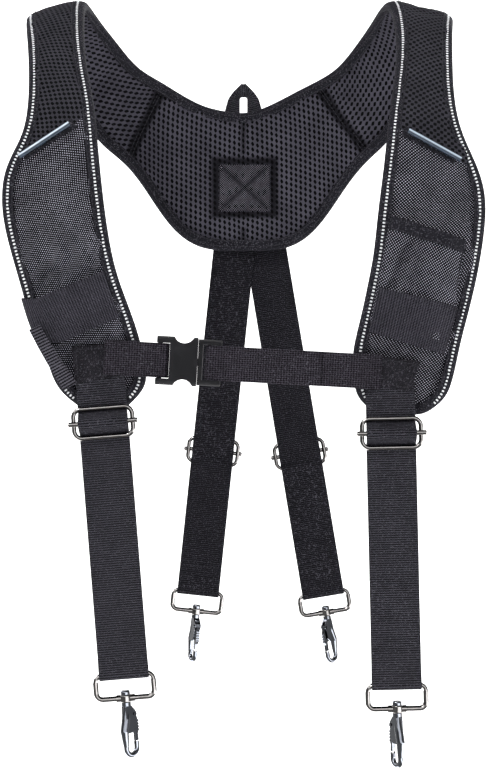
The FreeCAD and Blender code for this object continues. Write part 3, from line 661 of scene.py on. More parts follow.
GRID_STEP = 4.0
EDGE_STEP = 2.0
FABRIC_LEAN = {"left": 35.0, "back": 0.0, "right": 8.0}  # how the fabric is cut, in degrees
SWOLLEN = 1.6            # how far the cloth swells from the shape it is cut to
INNER = 0.3              # how far the inner face of a pad's half is from the middle plane
SECTIONS = {
    "left": (np.full(2, INSET), LEFT_SEAM + 1.4),
    "back": (LEFT_SEAM - 1.4, RIGHT_SEAM + 1.4),
    "right": (RIGHT_SEAM - 1.4, np.full(2, TOTAL - INSET)),
}


def pad_half(side, face):
    """One half of a pad: its cover (face 1) or its lining (face -1)."""
    start, end = SECTIONS[side]
    rows = round((end - start).mean() / GRID_STEP) + 1
    columns = 23 if side != "back" else 31
    down = np.linspace(0, 1, rows)[:, None]
    share = np.linspace(0, 1, columns)[None, :]
    s = seam_at(start, share) * (1 - down) + seam_at(end, share) * down
    edge = INSET / yoke_width(s)
    t = edge + (1 - 2 * edge) * share
    thick = PAD_HALF * puff(t) * seam_channel(s, t)
    swollen = SWOLLEN * np.sqrt(np.clip(4 * share * (1 - share), 0, 1))
    outer = np.maximum(thick - swollen, INNER + 0.8)
    top = yoke(s, t, face * outer)[0]
    bottom = yoke(s, t, face * np.full_like(outer, INNER))[0]
    lean = math.radians(FABRIC_LEAN[side])
    across, along = (t - 0.5) * yoke_width(s), np.broadcast_to(s, t.shape)
    uv = np.stack((across * math.cos(lean) + along * math.sin(lean),
                   along * math.cos(lean) - across * math.sin(lean)), axis=-1) * MM
    if side == "back":
        run = np.sign(top[..., 0]) * (np.abs(top[..., 0]) + 0.4 * (100 - top[..., 1]))
        uv = np.stack((run, top[..., 2] + 0.3 * top[..., 1]), axis=-1) * MM
    name = side + ("_cover_pad" if face > 0 else "_lining_pad")
    grids = (top, bottom) if face > 0 else (top[:, ::-1], bottom[:, ::-1])
    if face < 0:
        uv = uv[:, ::-1]
    obj, rim, count = slab_mesh(name, *grids, uv, [COVER if face > 0 else LINING])
    return obj, list(rim) + list(range(count, 2 * count))


SQUARE_AT = (1.0, -120.5)    # x and z of the middle of the stitched square on the back
PILLOW_HALF = (22.5, 20.5)   # half the width and height of its raised pillow
WELL_HALF = (30.5, 29.0)     # and of the sunken square round the pillow


def from_square(points, half):
    """x and z from the middle of the stitched square, as shares of half a width and height."""
    return (points[:, 0] - SQUARE_AT[0]) / half[0], (points[:, 2] - SQUARE_AT[1]) / half[1]


def pillow_reach(points, half=PILLOW_HALF):
    """How far out of the sewn square's inner pillow a point lies: 1 at the pillow's edge."""
    return np.max(np.abs(from_square(points, half)), axis=0)


def cross_dent(points):
    """The two creases where the pillow is sewn corner to corner."""
    x, z = from_square(points, PILLOW_HALF)
    near = np.minimum(np.abs(x - z), np.abs(x + z)) * 15.0
    return np.exp(-(near / 2.2) ** 2) * (1 - smoothstep(pillow_reach(points), 0.9, 1.05))


def centre_line(points):
    """The seam that runs up and down from the stitched square."""
    high, low = smoothstep(points[:, 2], -93, -89), 1 - smoothstep(points[:, 2], -159, -155)
    return np.exp(-(points[:, 0] / 2.2) ** 2) * np.maximum(high, low)


def square_relief(points, way):
    """The sunken stitched square on the inner face of the back, with its raised pillow."""
    well = -3.5 * (1 - smoothstep(pillow_reach(points, WELL_HALF), 0.82, 1.1))
    pillow = 3.0 * (1 - smoothstep(pillow_reach(points), 0.7, 1.02))
    sunk = well + pillow - 2.2 * cross_dent(points) - 1.8 * centre_line(points)
    return np.where(way[:, 1] < -0.2, sunk, 0.0)


def paint(obj, name, values):
    """Store one value per vertex for the material to read."""
    attribute = obj.data.attributes.new(name, "FLOAT", "POINT")
    attribute.data.foreach_set("value", np.asarray(values, np.float32))


def seam_shade(points):
    """1 along the two quilted seams, falling to 0 beside them."""
    shade = np.zeros(len(points))
    for ends in (LEFT_SEAM, RIGHT_SEAM):
        t = np.linspace(0, 1, 60)
        line = yoke(seam_at(ends, t), t, 0.0)[0]
        near = np.min(np.linalg.norm(points[:, None, :] - line[None, :, :], axis=2), axis=1)
        shade = np.maximum(shade, np.exp(-(np.maximum(near - 3.4, 0) / 2.2) ** 2))
    return shade


def make_pads():
    """The six padded halves: each section's cover and lining."""
    number = 0
    for side in SECTIONS:
        for face in (1, -1):
            obj, held = pad_half(side, face)
            swell(obj, held, SWOLLEN * MM)
            subdivide(obj)
            displace(obj, lambda p, n, k=number: (0.5 * wander(p, 34.0, 20 + k)
                                                  + 0.18 * wander(p, 11.0, 40 + k)))
            sewn = side == "back" and face < 0
            if sewn:
                subdivide(obj)
            points = coordinates(obj) / MM
            # Darkening of the quilted seams, and on the back lining of the ring round the pillow and
            # the sewn creases: partly mesh pressed shut, partly painted shade in these hollows.
            press_and_shade, zone = seam_shade(points), np.ones(len(points))
            if sewn:
                displace(obj, square_relief)
                reach = pillow_reach(points)
                ring = smoothstep(reach, 0.97, 1.07) * (1 - smoothstep(reach, 1.2, 1.45))
                press_and_shade = np.maximum.reduce((press_and_shade, ring, 0.75 * cross_dent(points),
                                             0.8 * centre_line(points)))
                zone = smoothstep(reach, 0.98, 1.06)
            elif face > 0:
                zone = smoothstep(tube_line(points[:, 0], points[:, 2]), -0.8, 0.8)
                zone = np.where(points[:, 1] > 40, 0.0, zone)
            paint(obj, "press_and_shade", press_and_shade)
            paint(obj, "zone", zone)
            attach(obj, "root")
            if face > 0:
                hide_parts(side + "_cover", side + "_foam")
            else:
                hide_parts(side + "_lining")
            number += 1


def outline():
    """The yoke's edge as a closed loop of (s, t) points."""
    s = np.linspace(0, TOTAL, round(TOTAL / EDGE_STEP) + 1)
    across = np.linspace(0, 1, 13)[1:-1]
    loop = [(a, 0.0) for a in s] + [(TOTAL, b) for b in across]
    loop += [(a, 1.0) for a in s[::-1]] + [(0.0, b) for b in across[::-1]]
    return np.array(loop)


def edge_frames():
    """Points, outward normals, inward directions and (s, t), all round the yoke's edge."""
    loop = outline()
    points, out = yoke(loop[:, 0], loop[:, 1], 0.0)
    for _ in range(3):
        points = (np.roll(points, 1, 0) + 2 * points + np.roll(points, -1, 0)) / 4
        out = unit(np.roll(out, 1, 0) + 2 * out + np.roll(out, -1, 0))
    along = np.roll(points, -1, 0) - np.roll(points, 1, 0)
    for _ in range(2):
        along = np.roll(along, 1, 0) + 2 * along + np.roll(along, -1, 0)
    along = unit(along)
    return points, out, unit(np.cross(out, along)), loop


def make_binding():
    """Woven tape folded over the whole edge of the yoke."""
    points, out, inward, loop = edge_frames()
    run = along_line(points)
    behind = smoothstep(loop[:, 0], LEFT_CREST, LEFT_CREST + 90) \
        * (1 - smoothstep(loop[:, 0], RIGHT_CREST - 90, RIGHT_CREST))
    profile = []
    reach_out = 9.0 - 3.0 * behind
    reach_in = 4.2 + 5.2 * behind
    half = PAD_HALF * EDGE_PUFF
    # Round the tape's section: place inwards, height in half thicknesses, and lift
    upper = [(1.0, 1.0, 0.35), (1.0, 1.0, 0.95), (0.62, 1.02, 1.15), (0.28, 1.0, 1.2),
             (0.06, 0.86, 1.0), (-0.12, 0.55, 0.6)]
    steps = upper + [(-0.2, 0.0, 0.0)] + [(a, -b, -c) for a, b, c in upper[::-1]]
    at_end = np.abs(loop[:, 1] - 0.5) < 0.49
    ripple = 0.16 * wander(points, 13.0, 90)
    for place, height, lift in steps:
        reach = reach_out if height >= 0 else reach_in
        a = place * reach if place > 0 else np.full(len(points), place * 3.0)
        t_in = np.clip(np.maximum(a, 0) / yoke_width(loop[:, 0]), 0, 0.5)
        thick = PAD_HALF * (puff(t_in) if place > 0 else EDGE_PUFF * np.ones(len(points)))
        thick = np.where(at_end, half, thick)
        crown = np.where(at_end, 0.0, CROWN * 4 * t_in * (1 - t_in))
        h = crown + height * thick + lift * 0.6 + np.sign(lift) * ripple
        profile.append(points + inward * a[:, None] + out * h[:, None])
    rings = np.stack(profile, axis=1)
    count, ring = rings.shape[:2]
    r, c = np.meshgrid(np.arange(count), np.arange(ring), indexing="ij")
    a, b = r * ring + c, r * ring + (c + 1) % ring
    d, e = ((r + 1) % count) * ring + c, ((r + 1) % count) * ring + (c + 1) % ring
    quads = np.stack((a, b, e, d), axis=-1).reshape(-1, 4)[:, ::-1]
    girth = np.linspace(-8, 8, ring)
    uv = spread(girth[None, :], run[:, None]).reshape(-1, 2) * MM
    obj = make_mesh("yoke_binding", rings.reshape(-1, 3), quads, uv, [FINE_WEB])
    subdivide(obj)
    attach(obj, "root")
    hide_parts("left_binding", "back_binding", "right_binding")


# Stitches and dots ---------------------------------------------------------------------
def spaced(points, ups, pitch):
    """Points, directions and normals at an even spacing along a line."""
    points, ups = np.asarray(points, float), np.asarray(ups, float)
    run = along_line(points)
    count = max(2, int(run[-1] / pitch))
    at = (np.arange(count) + 0.5) * run[-1] / count

    def pick(values, where):
        return np.stack([np.interp(where, run, values[:, k]) for k in range(3)], axis=1)

    ahead = pick(points, np.minimum(at + 0.4, run[-1]))
    behind = pick(points, np.maximum(at - 0.4, 0))
    return pick(points, at), unit(ahead - behind), unit(pick(ups, at))


def stamped(name, lines, pitch, template, faces, material):
    """One piece made of a small shape repeated along lines of (points, normals)."""
    verts, all_faces = [], []
    for points, ups in lines:
        spots, ways, tops = spaced(points, ups, pitch)
        sides = unit(np.cross(tops, ways))
        tops = np.cross(ways, sides)
        for spot, way, side, top in zip(spots, ways, sides, tops):
            base = len(verts) * len(template)
            verts.append(spot + template @ np.stack((way, side, top)))
            all_faces.append(faces + base)
    verts = np.concatenate(verts)
    uvs = np.tile(template[:, :2] * MM, (len(all_faces), 1))
    return make_mesh(name, verts, np.concatenate(all_faces), uvs, [material])


def ring_faces(rings, sides):
    r, c = np.meshgrid(np.arange(rings - 1), np.arange(sides), indexing="ij")
    a, b = r * sides + c, r * sides + (c + 1) % sides
    return np.stack((a, a + sides, b + sides, b), axis=-1).reshape(-1, 4)


def stitch_shape(length, radius):
    """A short plump thread that dips at both ends."""
    sides = 6
    rings = [(-0.5, 0.25, -0.5), (-0.38, 0.8, -0.1), (-0.14, 1.0, 0.15), (0.14, 1.0, 0.15),
             (0.38, 0.8, -0.1), (0.5, 0.25, -0.5)]
    turn = np.arange(sides) * 2 * math.pi / sides
    verts = [(f * length, math.cos(a) * radius * r, math.sin(a) * radius * r + lift * radius)
             for f, r, lift in rings for a in turn]
    return np.array(verts), ring_faces(len(rings), sides)


def stitches(name, lines, body, pitch, length, radius):
    template, faces = stitch_shape(length, radius)
    obj = stamped(name, lines, pitch, template, faces, THREAD)
    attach(obj, body)


def dot_shape(length, width, height):
    """A rounded, slightly domed oblong, lying along the second axis."""
    rings = [(1.0, 0.0), (1.0, 0.6), (0.86, 1.0), (0.4, 1.12)]
    turn = (np.arange(12) + 0.5) * 2 * math.pi / 12
    square = [(abs(math.cos(a)) ** 0.35 * math.copysign(1, math.cos(a)),
               abs(math.sin(a)) ** 0.35 * math.copysign(1, math.sin(a))) for a in turn]
    verts = [(x * length / 2 * size, y * width / 2 * size, height * lift)
             for size, lift in rings for x, y in square]
    verts.append((0, 0, height * 1.15))
    faces = ring_faces(len(rings), 12)[:, ::-1]
    top = (len(rings) - 1) * 12
    cap = [[top + k, top + (k + 1) % 12, len(verts) - 1, len(verts) - 1] for k in range(12)]
    return np.array(verts), faces, cap


def yoke_line(start, end, inset, from_arm, rise, face=1):
    """A line on the yoke, a fixed distance in from one of its edges: (points, normals)."""
    s = np.linspace(start, end, max(3, round(abs(end - start) / EDGE_STEP)))
    t = inset / yoke_width(s)
    t = 1 - t if from_arm else t
    points, out = yoke(s, t, face * (PAD_HALF * puff(t) + rise))
    return points, out * face


def make_trims():
    """Rows of silver reflective blocks along both edges of each front pad."""
    for side, start, end in (("left", 8.0, LEFT_CREST), ("right", RIGHT_CREST, TOTAL - 8.0)):
        dots = [yoke_line(start + 1, end, TRIM_IN - 0.5, from_arm, 0.6)
                for from_arm in (False, True)]
        template, faces, cap = dot_shape(1.35, 2.0, 0.24)
        faces = np.concatenate((faces, np.array(cap)))
        obj = dot_rows(side + "_reflective_blocks", dots, 2.72, template, faces)
        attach(obj, "root")
        if side == "left":
            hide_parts("reflective_trims")


def dot_rows(name, lines, pitch, template, faces):
    """Silver blocks repeated along lines; the fan of triangles at each top is kept."""
    verts, all_faces = [], []
    for points, ups in lines:
        spots, ways, tops = spaced(points, ups, pitch)
        sides = unit(np.cross(tops, ways))
        for spot, way, side, top in zip(spots, ways, sides, tops):
            base = len(verts) * len(template)
            verts.append(spot + template @ np.stack((way, side, top)))
            all_faces += [[int(i) + base for i in dict.fromkeys(face)] for face in faces]
    uvs = np.tile(template[:, :2] * MM, (len(verts), 1))
    return make_mesh(name, np.concatenate(verts), all_faces, uvs, [SILVER])


# Webbing -------------------------------------------------------------------------------
def belt(start, circles, end, step=1.5):
    """Points along lines and arcs from start to end, tangent to each (centre, radius).

    A radius is positive where the path turns left round its circle.
    """
    stops = [(start, 0.0)] + circles + [(end, 0.0)]
    headings = []
    for (here, r1), (there, r2) in zip(stops, stops[1:]):
        dx, dy = there[0] - here[0], there[1] - here[1]
        headings.append(math.atan2(dy, dx) - math.asin((r2 - r1) / math.hypot(dx, dy)))

    def touch(stop, heading):
        (x, y), radius = stop
        return np.array((x + radius * math.sin(heading), y - radius * math.cos(heading)))

    points = []
    for i, heading in enumerate(headings):
        a, b = touch(stops[i], heading), touch(stops[i + 1], heading)
        count = max(1, round(np.linalg.norm(b - a) / step))
        points += [a + (b - a) * k / count for k in range(count + 1)]
        if i + 1 < len(headings):
            turn = headings[i + 1] - heading
            way = math.copysign(1.0, stops[i + 1][1])
            while turn * way < 0:
                turn += way * 2 * math.pi
            count = max(3, round(abs(turn) / 0.2))
            points += [touch(stops[i + 1], heading + turn * k / count) for k in range(1, count)]
    kept = [points[0]]
    for point in points[1:]:
        if np.linalg.norm(point - kept[-1]) > 0.05:
            kept.append(point)
    return np.array(kept)


def web_strip(name, centre, side, width, material, thick=WEB_THICK, bend=None):
    """A closed strip of webbing along a line, with rounded, slightly thicker woven edges.

    thick may be one value per point. bend(run, across) lifts it off its line.
    """
    thick = np.broadcast_to(thick, (len(centre),))[:, None]
    side = np.broadcast_to(side, centre.shape)
    run = along_line(centre)
    along = unit(np.gradient(centre, axis=0))
    top = unit(np.cross(side, along))
    inner = np.linspace(-0.86, 0.86, 9)
    across = np.concatenate(((-1.0, -0.985, -0.94), inner, (0.94, 0.985, 1.0))) * width / 2
    swell_at = np.concatenate(((0.3, 0.85, 1.12), np.full(9, 1.0), (1.12, 0.85, 0.3)))
    lift = np.zeros((len(centre), len(across)))
    if bend is not None:
        lift = bend(run[:, None], across[None, :])
    base = (centre[:, None, :] + side[:, None, :] * across[None, :, None]
            + top[:, None, :] * lift[..., None])
    half = top[:, None, :] * (thick * swell_at[None, :] / 2)[..., None]
    uv = spread(across[None, :], run[:, None]) * MM
    return slab_mesh(name, base + half, base - half, uv, [material])[0], run[-1]


def laid(name, points, distance):
    """Local points of an upright strap moved onto strap name."""
    strap = STRAPS[name]
    top, fold = np.array(strap["top"]), np.array(strap["fold"])
    down = unit(fold - top)
    points = np.array(points, float)
    if strap["outward"] > 0:
        points = points * np.array((-1, -1, 1))
    lean = math.atan2(-down[0], -down[2])
    x, z = points[..., 0], points[..., 2]
    turned = np.stack((x * math.cos(lean) + z * math.sin(lean), points[..., 1],
                       z * math.cos(lean) - x * math.sin(lean)), axis=-1)
    return turned + top + down * distance


def strap_line(name, path, distance):
    """(centre line, width direction) of a belt path in the strap's middle plane."""
    local = np.stack((np.zeros(len(path)), path[:, 0], path[:, 1]), axis=1)
    centre = laid(name, local, distance)
    side = laid(name, local + np.array((1.0, 0, 0)), distance) - centre
    return centre, side


def make_strap(name):
    """The three lengths of webbing of one strap, and the stitching that closes its loop."""
    strap = STRAPS[name]
    front = strap["outward"] < 0
    above = strap["adjuster"]
    length = float(np.linalg.norm(np.array(strap["top"]) - np.array(strap["fold"])))
    drop = length - above
    bar = ADJUSTER_HEIGHT / 2
    back = BAR_WRAP + LAYER_STEP
    seed = list(STRAPS).index(name)
    # The rear straps take the darker copy of the webbing: painted shade.
    cloth = WEB if front else SHADED_REAR_WEB

    def spot(y, z, distance):
        """A point in the strap's middle plane, in metres."""
        return tuple(laid(name, (0, y, z), distance) * MM)

    def slack(v, u):
        """The slight ripples of the webbing over the pin."""
        return (0.35 * np.sin(u * 0.33 + v * 0.12 + seed) * smoothstep(v, 4, 9)
                * (1 - smoothstep(v, 22, 27)))

    hidden = 152.0 if front else 72.0    # the tail inside the loop, below the adjuster
    path = belt((BAR_WRAP, above), [], (BAR_WRAP, -hidden))
    centre, side = strap_line(name, path, above)
    thick = 0.8 + 0.5 * smoothstep(path[:, 1], -16.0, -8.0)
    obj, run = web_strip(name + "_upper_web", centre, side, WEBBING - 0.6, cloth, thick)
    if front:
        co = coordinates(obj) / MM
        lie_on_pad(obj, co, smoothstep(co[:, 2], -312.0, -300.0), strap["top"][1] + BAR_WRAP)
    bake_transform(obj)
    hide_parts(name + "_webbing_upper")

    circles = [((0.0, bar), -BAR_WRAP), ((-PIN_OUT, 0.0), PIN_WRAP + LAYER_STEP),
               ((0.0, -bar), -BAR_WRAP)]
    path = belt((BAR_WRAP, bar + 1.4), circles, (BAR_WRAP, -bar - 1.2), 1.0)
    obj, run = web_strip(name + "_adjuster_web", *strap_line(name, path, above), WEBBING - 1.0,
                         cloth, bend=slack)
    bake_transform(obj)

    part_at = -drop + FOLD_SPREAD
    circles = [((BAR_WRAP - GENTLE, part_at), -GENTLE), ((HOOK_BAR_BACK, -drop), BAR_WRAP),
               ((back + GENTLE, part_at), -GENTLE), ((0.0, -bar), BAR_WRAP + LAYER_STEP),
               ((-PIN_OUT, 0.0), -PIN_WRAP)]
    path = belt((BAR_WRAP, -bar + 1.0), circles, (1.1, -2.6))
    centre, side = strap_line(name, path, above)
    obj, run = web_strip(name + "_loop_web", centre, side, WEBBING - 0.4, cloth)
    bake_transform(obj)
    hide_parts(name + "_webbing_loop")

    rows = []
    u = np.linspace(-WEBBING / 2 + 2.5, WEBBING / 2 - 2.5, 12)
    for z in (-drop + 23.0, -drop + 27.0):
        for y, way in ((BAR_WRAP - 0.75, -1), (back + 0.75, 1)):
            spots, ahead = (laid(name, spread(u, at, z), above) for at in (y, y + way))
            rows.append((spots, ahead - spots))
    stitches(name + "_loop_stitches", rows, name + "_loop", 2.8, 2.2, 0.3)


def lie_on_pad(obj, co, share, plane, rise=1.0):
    """Lay part of a strip, made in the plane y = plane, onto the face of the front pad."""
    held = share > 0
    face = on_pad(co[held, 0], co[held, 2], rise)[0][:, 1]
    co[held, 1] += (face - plane) * share[held]
    set_coordinates(obj, co * MM)


def on_chest(points):
    """Local points of the chest strap moved to their place."""
    x, y, z = points[..., 0], points[..., 1], points[..., 2]
    turned = np.stack((x * math.cos(CHEST_TILT) + z * math.sin(CHEST_TILT), y,
                       z * math.cos(CHEST_TILT) - x * math.sin(CHEST_TILT)), axis=-1)
    return turned + BUCKLE_AT


def make_chest_straps():
    """The two lengths of chest webbing, each round its bar of the buckle and sewn to its pad."""
    left = belt((-64.0, -1.6), [((-19.1, 0.0), 3.6)], (-36.0, -0.2))
    right = belt((146.0, -3.2), [((15.5, 0.0), 2.35)], (100.0, -3.0))
    for name, path, edge, way in (("chest_strap_left", left, -82.0, -1),
                                  ("chest_strap_right", right, 88.0, 1)):
        local = np.stack((path[:, 0], path[:, 1], np.zeros(len(path))), axis=1)
        centre = on_chest(local)
        side = on_chest(local + np.array((0, 0, 1.0))) - centre
        obj, run = web_strip(name + "_web", centre, side, CHEST_WEBBING + 1.2, CHEST_WEB)
        co = coordinates(obj) / MM
        share = smoothstep(way * co[:, 0], way * edge, way * edge + 14.0)
        plane = np.where(way * co[:, 0] > 0, BUCKLE_AT[1] + (-1.6 if way < 0 else -3.2), 0)
        lie_on_pad(obj, co, share, plane[share > 0], 3.0)
        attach(obj, "root")
        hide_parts(name)


# Fittings sewn to the pads ---------------------------------------------------------------
def patch_spots(corners, u, v):
    """(x, z) at shares u and v of a patch between four corners."""
    a, b, c, d = (np.array(p, float) for p in corners)
    u, v = u[..., None], v[..., None]
    flat = (a * (1 - u) + b * u) * (1 - v) + (d * (1 - u) + c * u) * v
    return flat[..., 0], flat[..., 1]


def pad_patch(name, corners, rise, thick, arch, material, rows, columns, dent=None,
              v_ends=(0.0, 1.0)):
    """A cloth patch on a front pad. arch(u) lifts it and dent(x, z) presses it in."""
    u, v = np.meshgrid(np.linspace(0, 1, rows), np.linspace(*v_ends, columns), indexing="ij")
    x, z = patch_spots(corners, u, v)
    shape = np.stack((x, np.zeros_like(x), z), axis=-1).reshape(-1, 3)
    lift = rise + arch(u) + 0.2 * wander(shape, 15.0, len(name)).reshape(x.shape)
    if dent:
        lift = np.maximum(lift - dent(x, z), rise)
    points, out = on_pad(x, z, lift)
    a, b, c, d = (np.array(p, float) for p in corners)
    long, wide = np.linalg.norm(b - a), np.linalg.norm(d - a) * (v_ends[1] - v_ends[0])
    uv = np.stack(((v - 0.5) * np.linalg.norm(d - a), u * long), axis=-1) * MM
    obj = slab_mesh(name, points + out * thick, points, uv, [material])[0]
    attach(obj, "root")
    return obj, long, wide


def along_track(track, steps):
    """Points along the straight runs between corners: both of their coordinates."""
    track = np.array(track, float)
    at = np.linspace(0, len(track) - 1, steps * (len(track) - 1) + 1)
    return [np.interp(at, np.arange(len(track)), track[:, k]) for k in range(2)]


def patch_lines(corners, lift, tracks):
    """Stitch lines on a patch: each track is a list of (u, v) corners; lift(u) in mm."""
    lines = []
    for track in tracks:
        u, v = along_track(track, 12)
        lines.append(on_pad(*patch_spots(corners, u, v), lift(u)))
    return lines


LEFT_BAND = ((-158, -234), (-106, -212), (-94, -247), (-141, -267))
RIGHT_BAND = ((102, -224), (162, -239), (152, -275), (95, -258))
PEN_POCKET = ((111, -172), (168, -191), (155, -266), (96, -249))
TOOL_LOOP = ((-162.0, -256.0), (-136.0, -302.0), (-126.0, -296.0), (-153.5, -252.5))
LEFT_PATCH = ((-130.0, -268.5), (-100.0, -266.5), (-100.0, -292.5), (-128.0, -297.0))
RIGHT_PATCH = ((102.5, -276.0), (133.6, -280.2), (127.0, -303.0), (101.0, -298.3))
DIVIDER = 0.45


def no_arch(u):
    return np.zeros_like(u)


def bow(height):
    return lambda u: height * np.sin(math.pi * np.clip(u, 0, 1))


def pocket_arch(u):
    """Two shallow pockets side by side, sewn down between them."""
    first = 4.6 * np.sin(math.pi * np.clip(u / DIVIDER, 0, 1))
    second = 5.6 * np.sin(math.pi * np.clip((u - DIVIDER) / (1 - DIVIDER), 0, 1))
    return first + second + 1.2 * np.sin(math.pi * u)


def pocket_fold(x, z):
    """The deep soft crease that runs down the pocket nearer the wearer's middle."""
    first, last = np.array((126.0, -188.0)), np.array((111.0, -226.0))
    way = unit(last - first)
    across = (x - first[0]) * -way[1] + (z - first[1]) * way[0]
    down = (x - first[0]) * way[0] + (z - first[1]) * way[1]
    return 8.4 * np.exp(-(across / 3.0) ** 2) * smoothstep(down, -4, 8)


def box_cross(x0, x1, y0, y1):
    """The lines of a box stitched with a cross in it."""
    a, b, c, d = (x0, y0), (x1, y0), (x1, y1), (x0, y1)
    return [[a, b, c, d, a], [a, c], [d, b]]


def make_fittings():
    """The bands, pockets, loops, patches and tapes that are sewn to the front pads."""
    lines = []
    for name, corners, rise, arch, material, node in (
            ("right_phone_band_web", RIGHT_BAND, 2.6, bow(7.0), RIBBED, "right_phone_band"),
            ("right_pen_pocket_cloth", PEN_POCKET, 0.9, pocket_arch, COVER, "right_pen_pocket"),
            ("left_tool_loop_web", TOOL_LOOP, 5.6, bow(4.2), LOOP_WEB, "left_tool_loop")):
        dent = pocket_fold if material is COVER else None
        obj, long, wide = pad_patch(name, corners, rise, WEB_THICK, arch, material, 60, 40,
                                    dent=dent)
        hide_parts(node)
        lines += patch_lines(corners, lambda u: rise + WEB_THICK + arch(u),
                             [[(0.03, 0.04), (0.03, 0.96)], [(0.97, 0.96), (0.97, 0.04)]])

    obj, long, _ = pad_patch("right_pen_pocket_hem", PEN_POCKET, 2.3, 0.8, pocket_arch, FINE_WEB,
                             60, 8, v_ends=(-0.02, 0.11))
    lines += patch_lines(PEN_POCKET, lambda u: 3.2 + pocket_arch(u),
                         [[(0.02, 0.1), (0.98, 0.1)], [(DIVIDER, 0.0), (DIVIDER, 0.12)]])
    lines += patch_lines(PEN_POCKET, lambda u: 2.3 + pocket_arch(u),
                         [[(DIVIDER, 0.13), (DIVIDER, 0.78)]])

    for side, corners in (("left", LEFT_PATCH), ("right", RIGHT_PATCH)):
        obj, long, wide = pad_patch(f"chest_{side}_patch", corners, 1.1, 1.0, no_arch, FELT,
                                    24, 20)
        lines += patch_lines(corners, lambda u: 2.2 + 0 * u, box_cross(0.1, 0.9, 0.1, 0.9))
    stitches("pad_fitting_stitches", lines, "root", 2.6, 2.1, 0.28)
    make_left_band()

    for side, first, last in (("left", (-169.0, -126.5), (-131.5, -102.0)),
                              ("right", (124.5, -107.5), (163.5, -129.0))):
        run = unit(np.array((last[0] - first[0], last[1] - first[1]), float))
        across = np.array((-run[1], run[0])) * 4.0
        low, high = (-3.0, 4.0) if side == "left" else (4.0, -3.0)
        ends = [np.array(first) - run * low, np.array(last) + run * high]
        corners = (ends[0] + across, ends[1] + across, ends[1] - across, ends[0] - across)
        obj, long, _ = pad_patch(side + "_hanger_tape", corners, 0.9, 0.7, no_arch, FINE_WEB,
                                 24, 7)
        if side == "left":
            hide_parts("hanger_bands")


def make_left_band():
    """The left holding band: sewn near the neck edge and wrapped round the arm edge."""
    columns = 26
    v = np.linspace(0, 1, columns)
    rows, ups = [], []
    x, z = patch_spots(LEFT_BAND, np.zeros(columns), v)
    s, t = pad_station(x, z)
    width = yoke_width(s)
    half = PAD_HALF * EDGE_PUFF
    for inset, height in ((11.0, -1.9), (6.0, -1.75), (2.0, -1.6), (-0.6, -1.25), (-2.0, -0.55),
                          (-2.3, 0.2), (-1.5, 1.0), (0.6, 1.55), (3.6, 1.95), (8.0, 2.3)):
        if inset >= (1 - t).min() * width.min() - 1:
            continue
        points, out = yoke(s, 1 - inset / width, height * half + (1.0 if height > 0 else 0.0))
        rows.append(points)
        ups.append(out)
    for share in np.linspace(0.06, 1, 44):
        lift = 0.9 + 7.0 * math.sin(math.pi * min(1.0, 0.16 + 0.84 * share))
        points, out = on_pad(*patch_spots(LEFT_BAND, np.full(columns, share), v), lift)
        rows.append(points)
        ups.append(out)
    middle = np.stack(rows)
    along = np.gradient(middle, axis=0)
    across = np.gradient(middle, axis=1)
    top = unit(np.cross(across, along))
    if np.sum(top[-1] * ups[-1]) < 0:
        top = -top
    run = along_line(middle[:, 12])
    uv = spread((v[None, :] - 0.5) * WEBBING, run[:, None]) * MM
    half_thick = top * WEB_THICK / 2
    obj = slab_mesh("left_phone_band_web", middle + half_thick, middle - half_thick, uv, [RIBBED])[0]
    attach(obj, "root")
    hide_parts("left_phone_band")


def make_back_fittings():
    """The box-stitched patch on the outside of the back."""
    y = 100 + CROWN + PAD_HALF + 4.6
    half = 27.0
    x, z = np.meshgrid(np.linspace(-half, half, 30), np.linspace(-149, -91, 30), indexing="ij")
    sideways, upwards = x / half, (z + 120) / 29.0
    puffed = 0.9 * (1 - smoothstep(np.maximum(np.abs(sideways), np.abs(upwards)), 0.8, 1.0))
    cross = np.minimum(np.abs(sideways - upwards), np.abs(sideways + upwards)) * 20
    lift = puffed - 0.7 * np.exp(-(cross / 1.4) ** 2)
    points = np.stack((x, y + lift, z), axis=-1)
    uv = np.stack((x, z), axis=-1) * MM
    low = points - np.array((0, WEB_THICK, 0))
    obj = slab_mesh("back_patch_cloth", points[:, ::-1], low[:, ::-1], uv[:, ::-1], [RIBBED])[0]
    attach(obj, "root")
    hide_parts("back_patch")
    up = np.array((0.0, 1.0, 0.0))
    corner = half - 2.5
    lines = []
    for track in box_cross(-corner, corner, -146.5, -93.5):
        x, z = along_track(track, 30)
        points = np.stack((x, np.full_like(x, y + 0.35), z), axis=1)
        lines.append((points, np.broadcast_to(up, points.shape)))
    stitches("back_patch_stitches", lines, "root", 3.0, 2.4, 0.34)


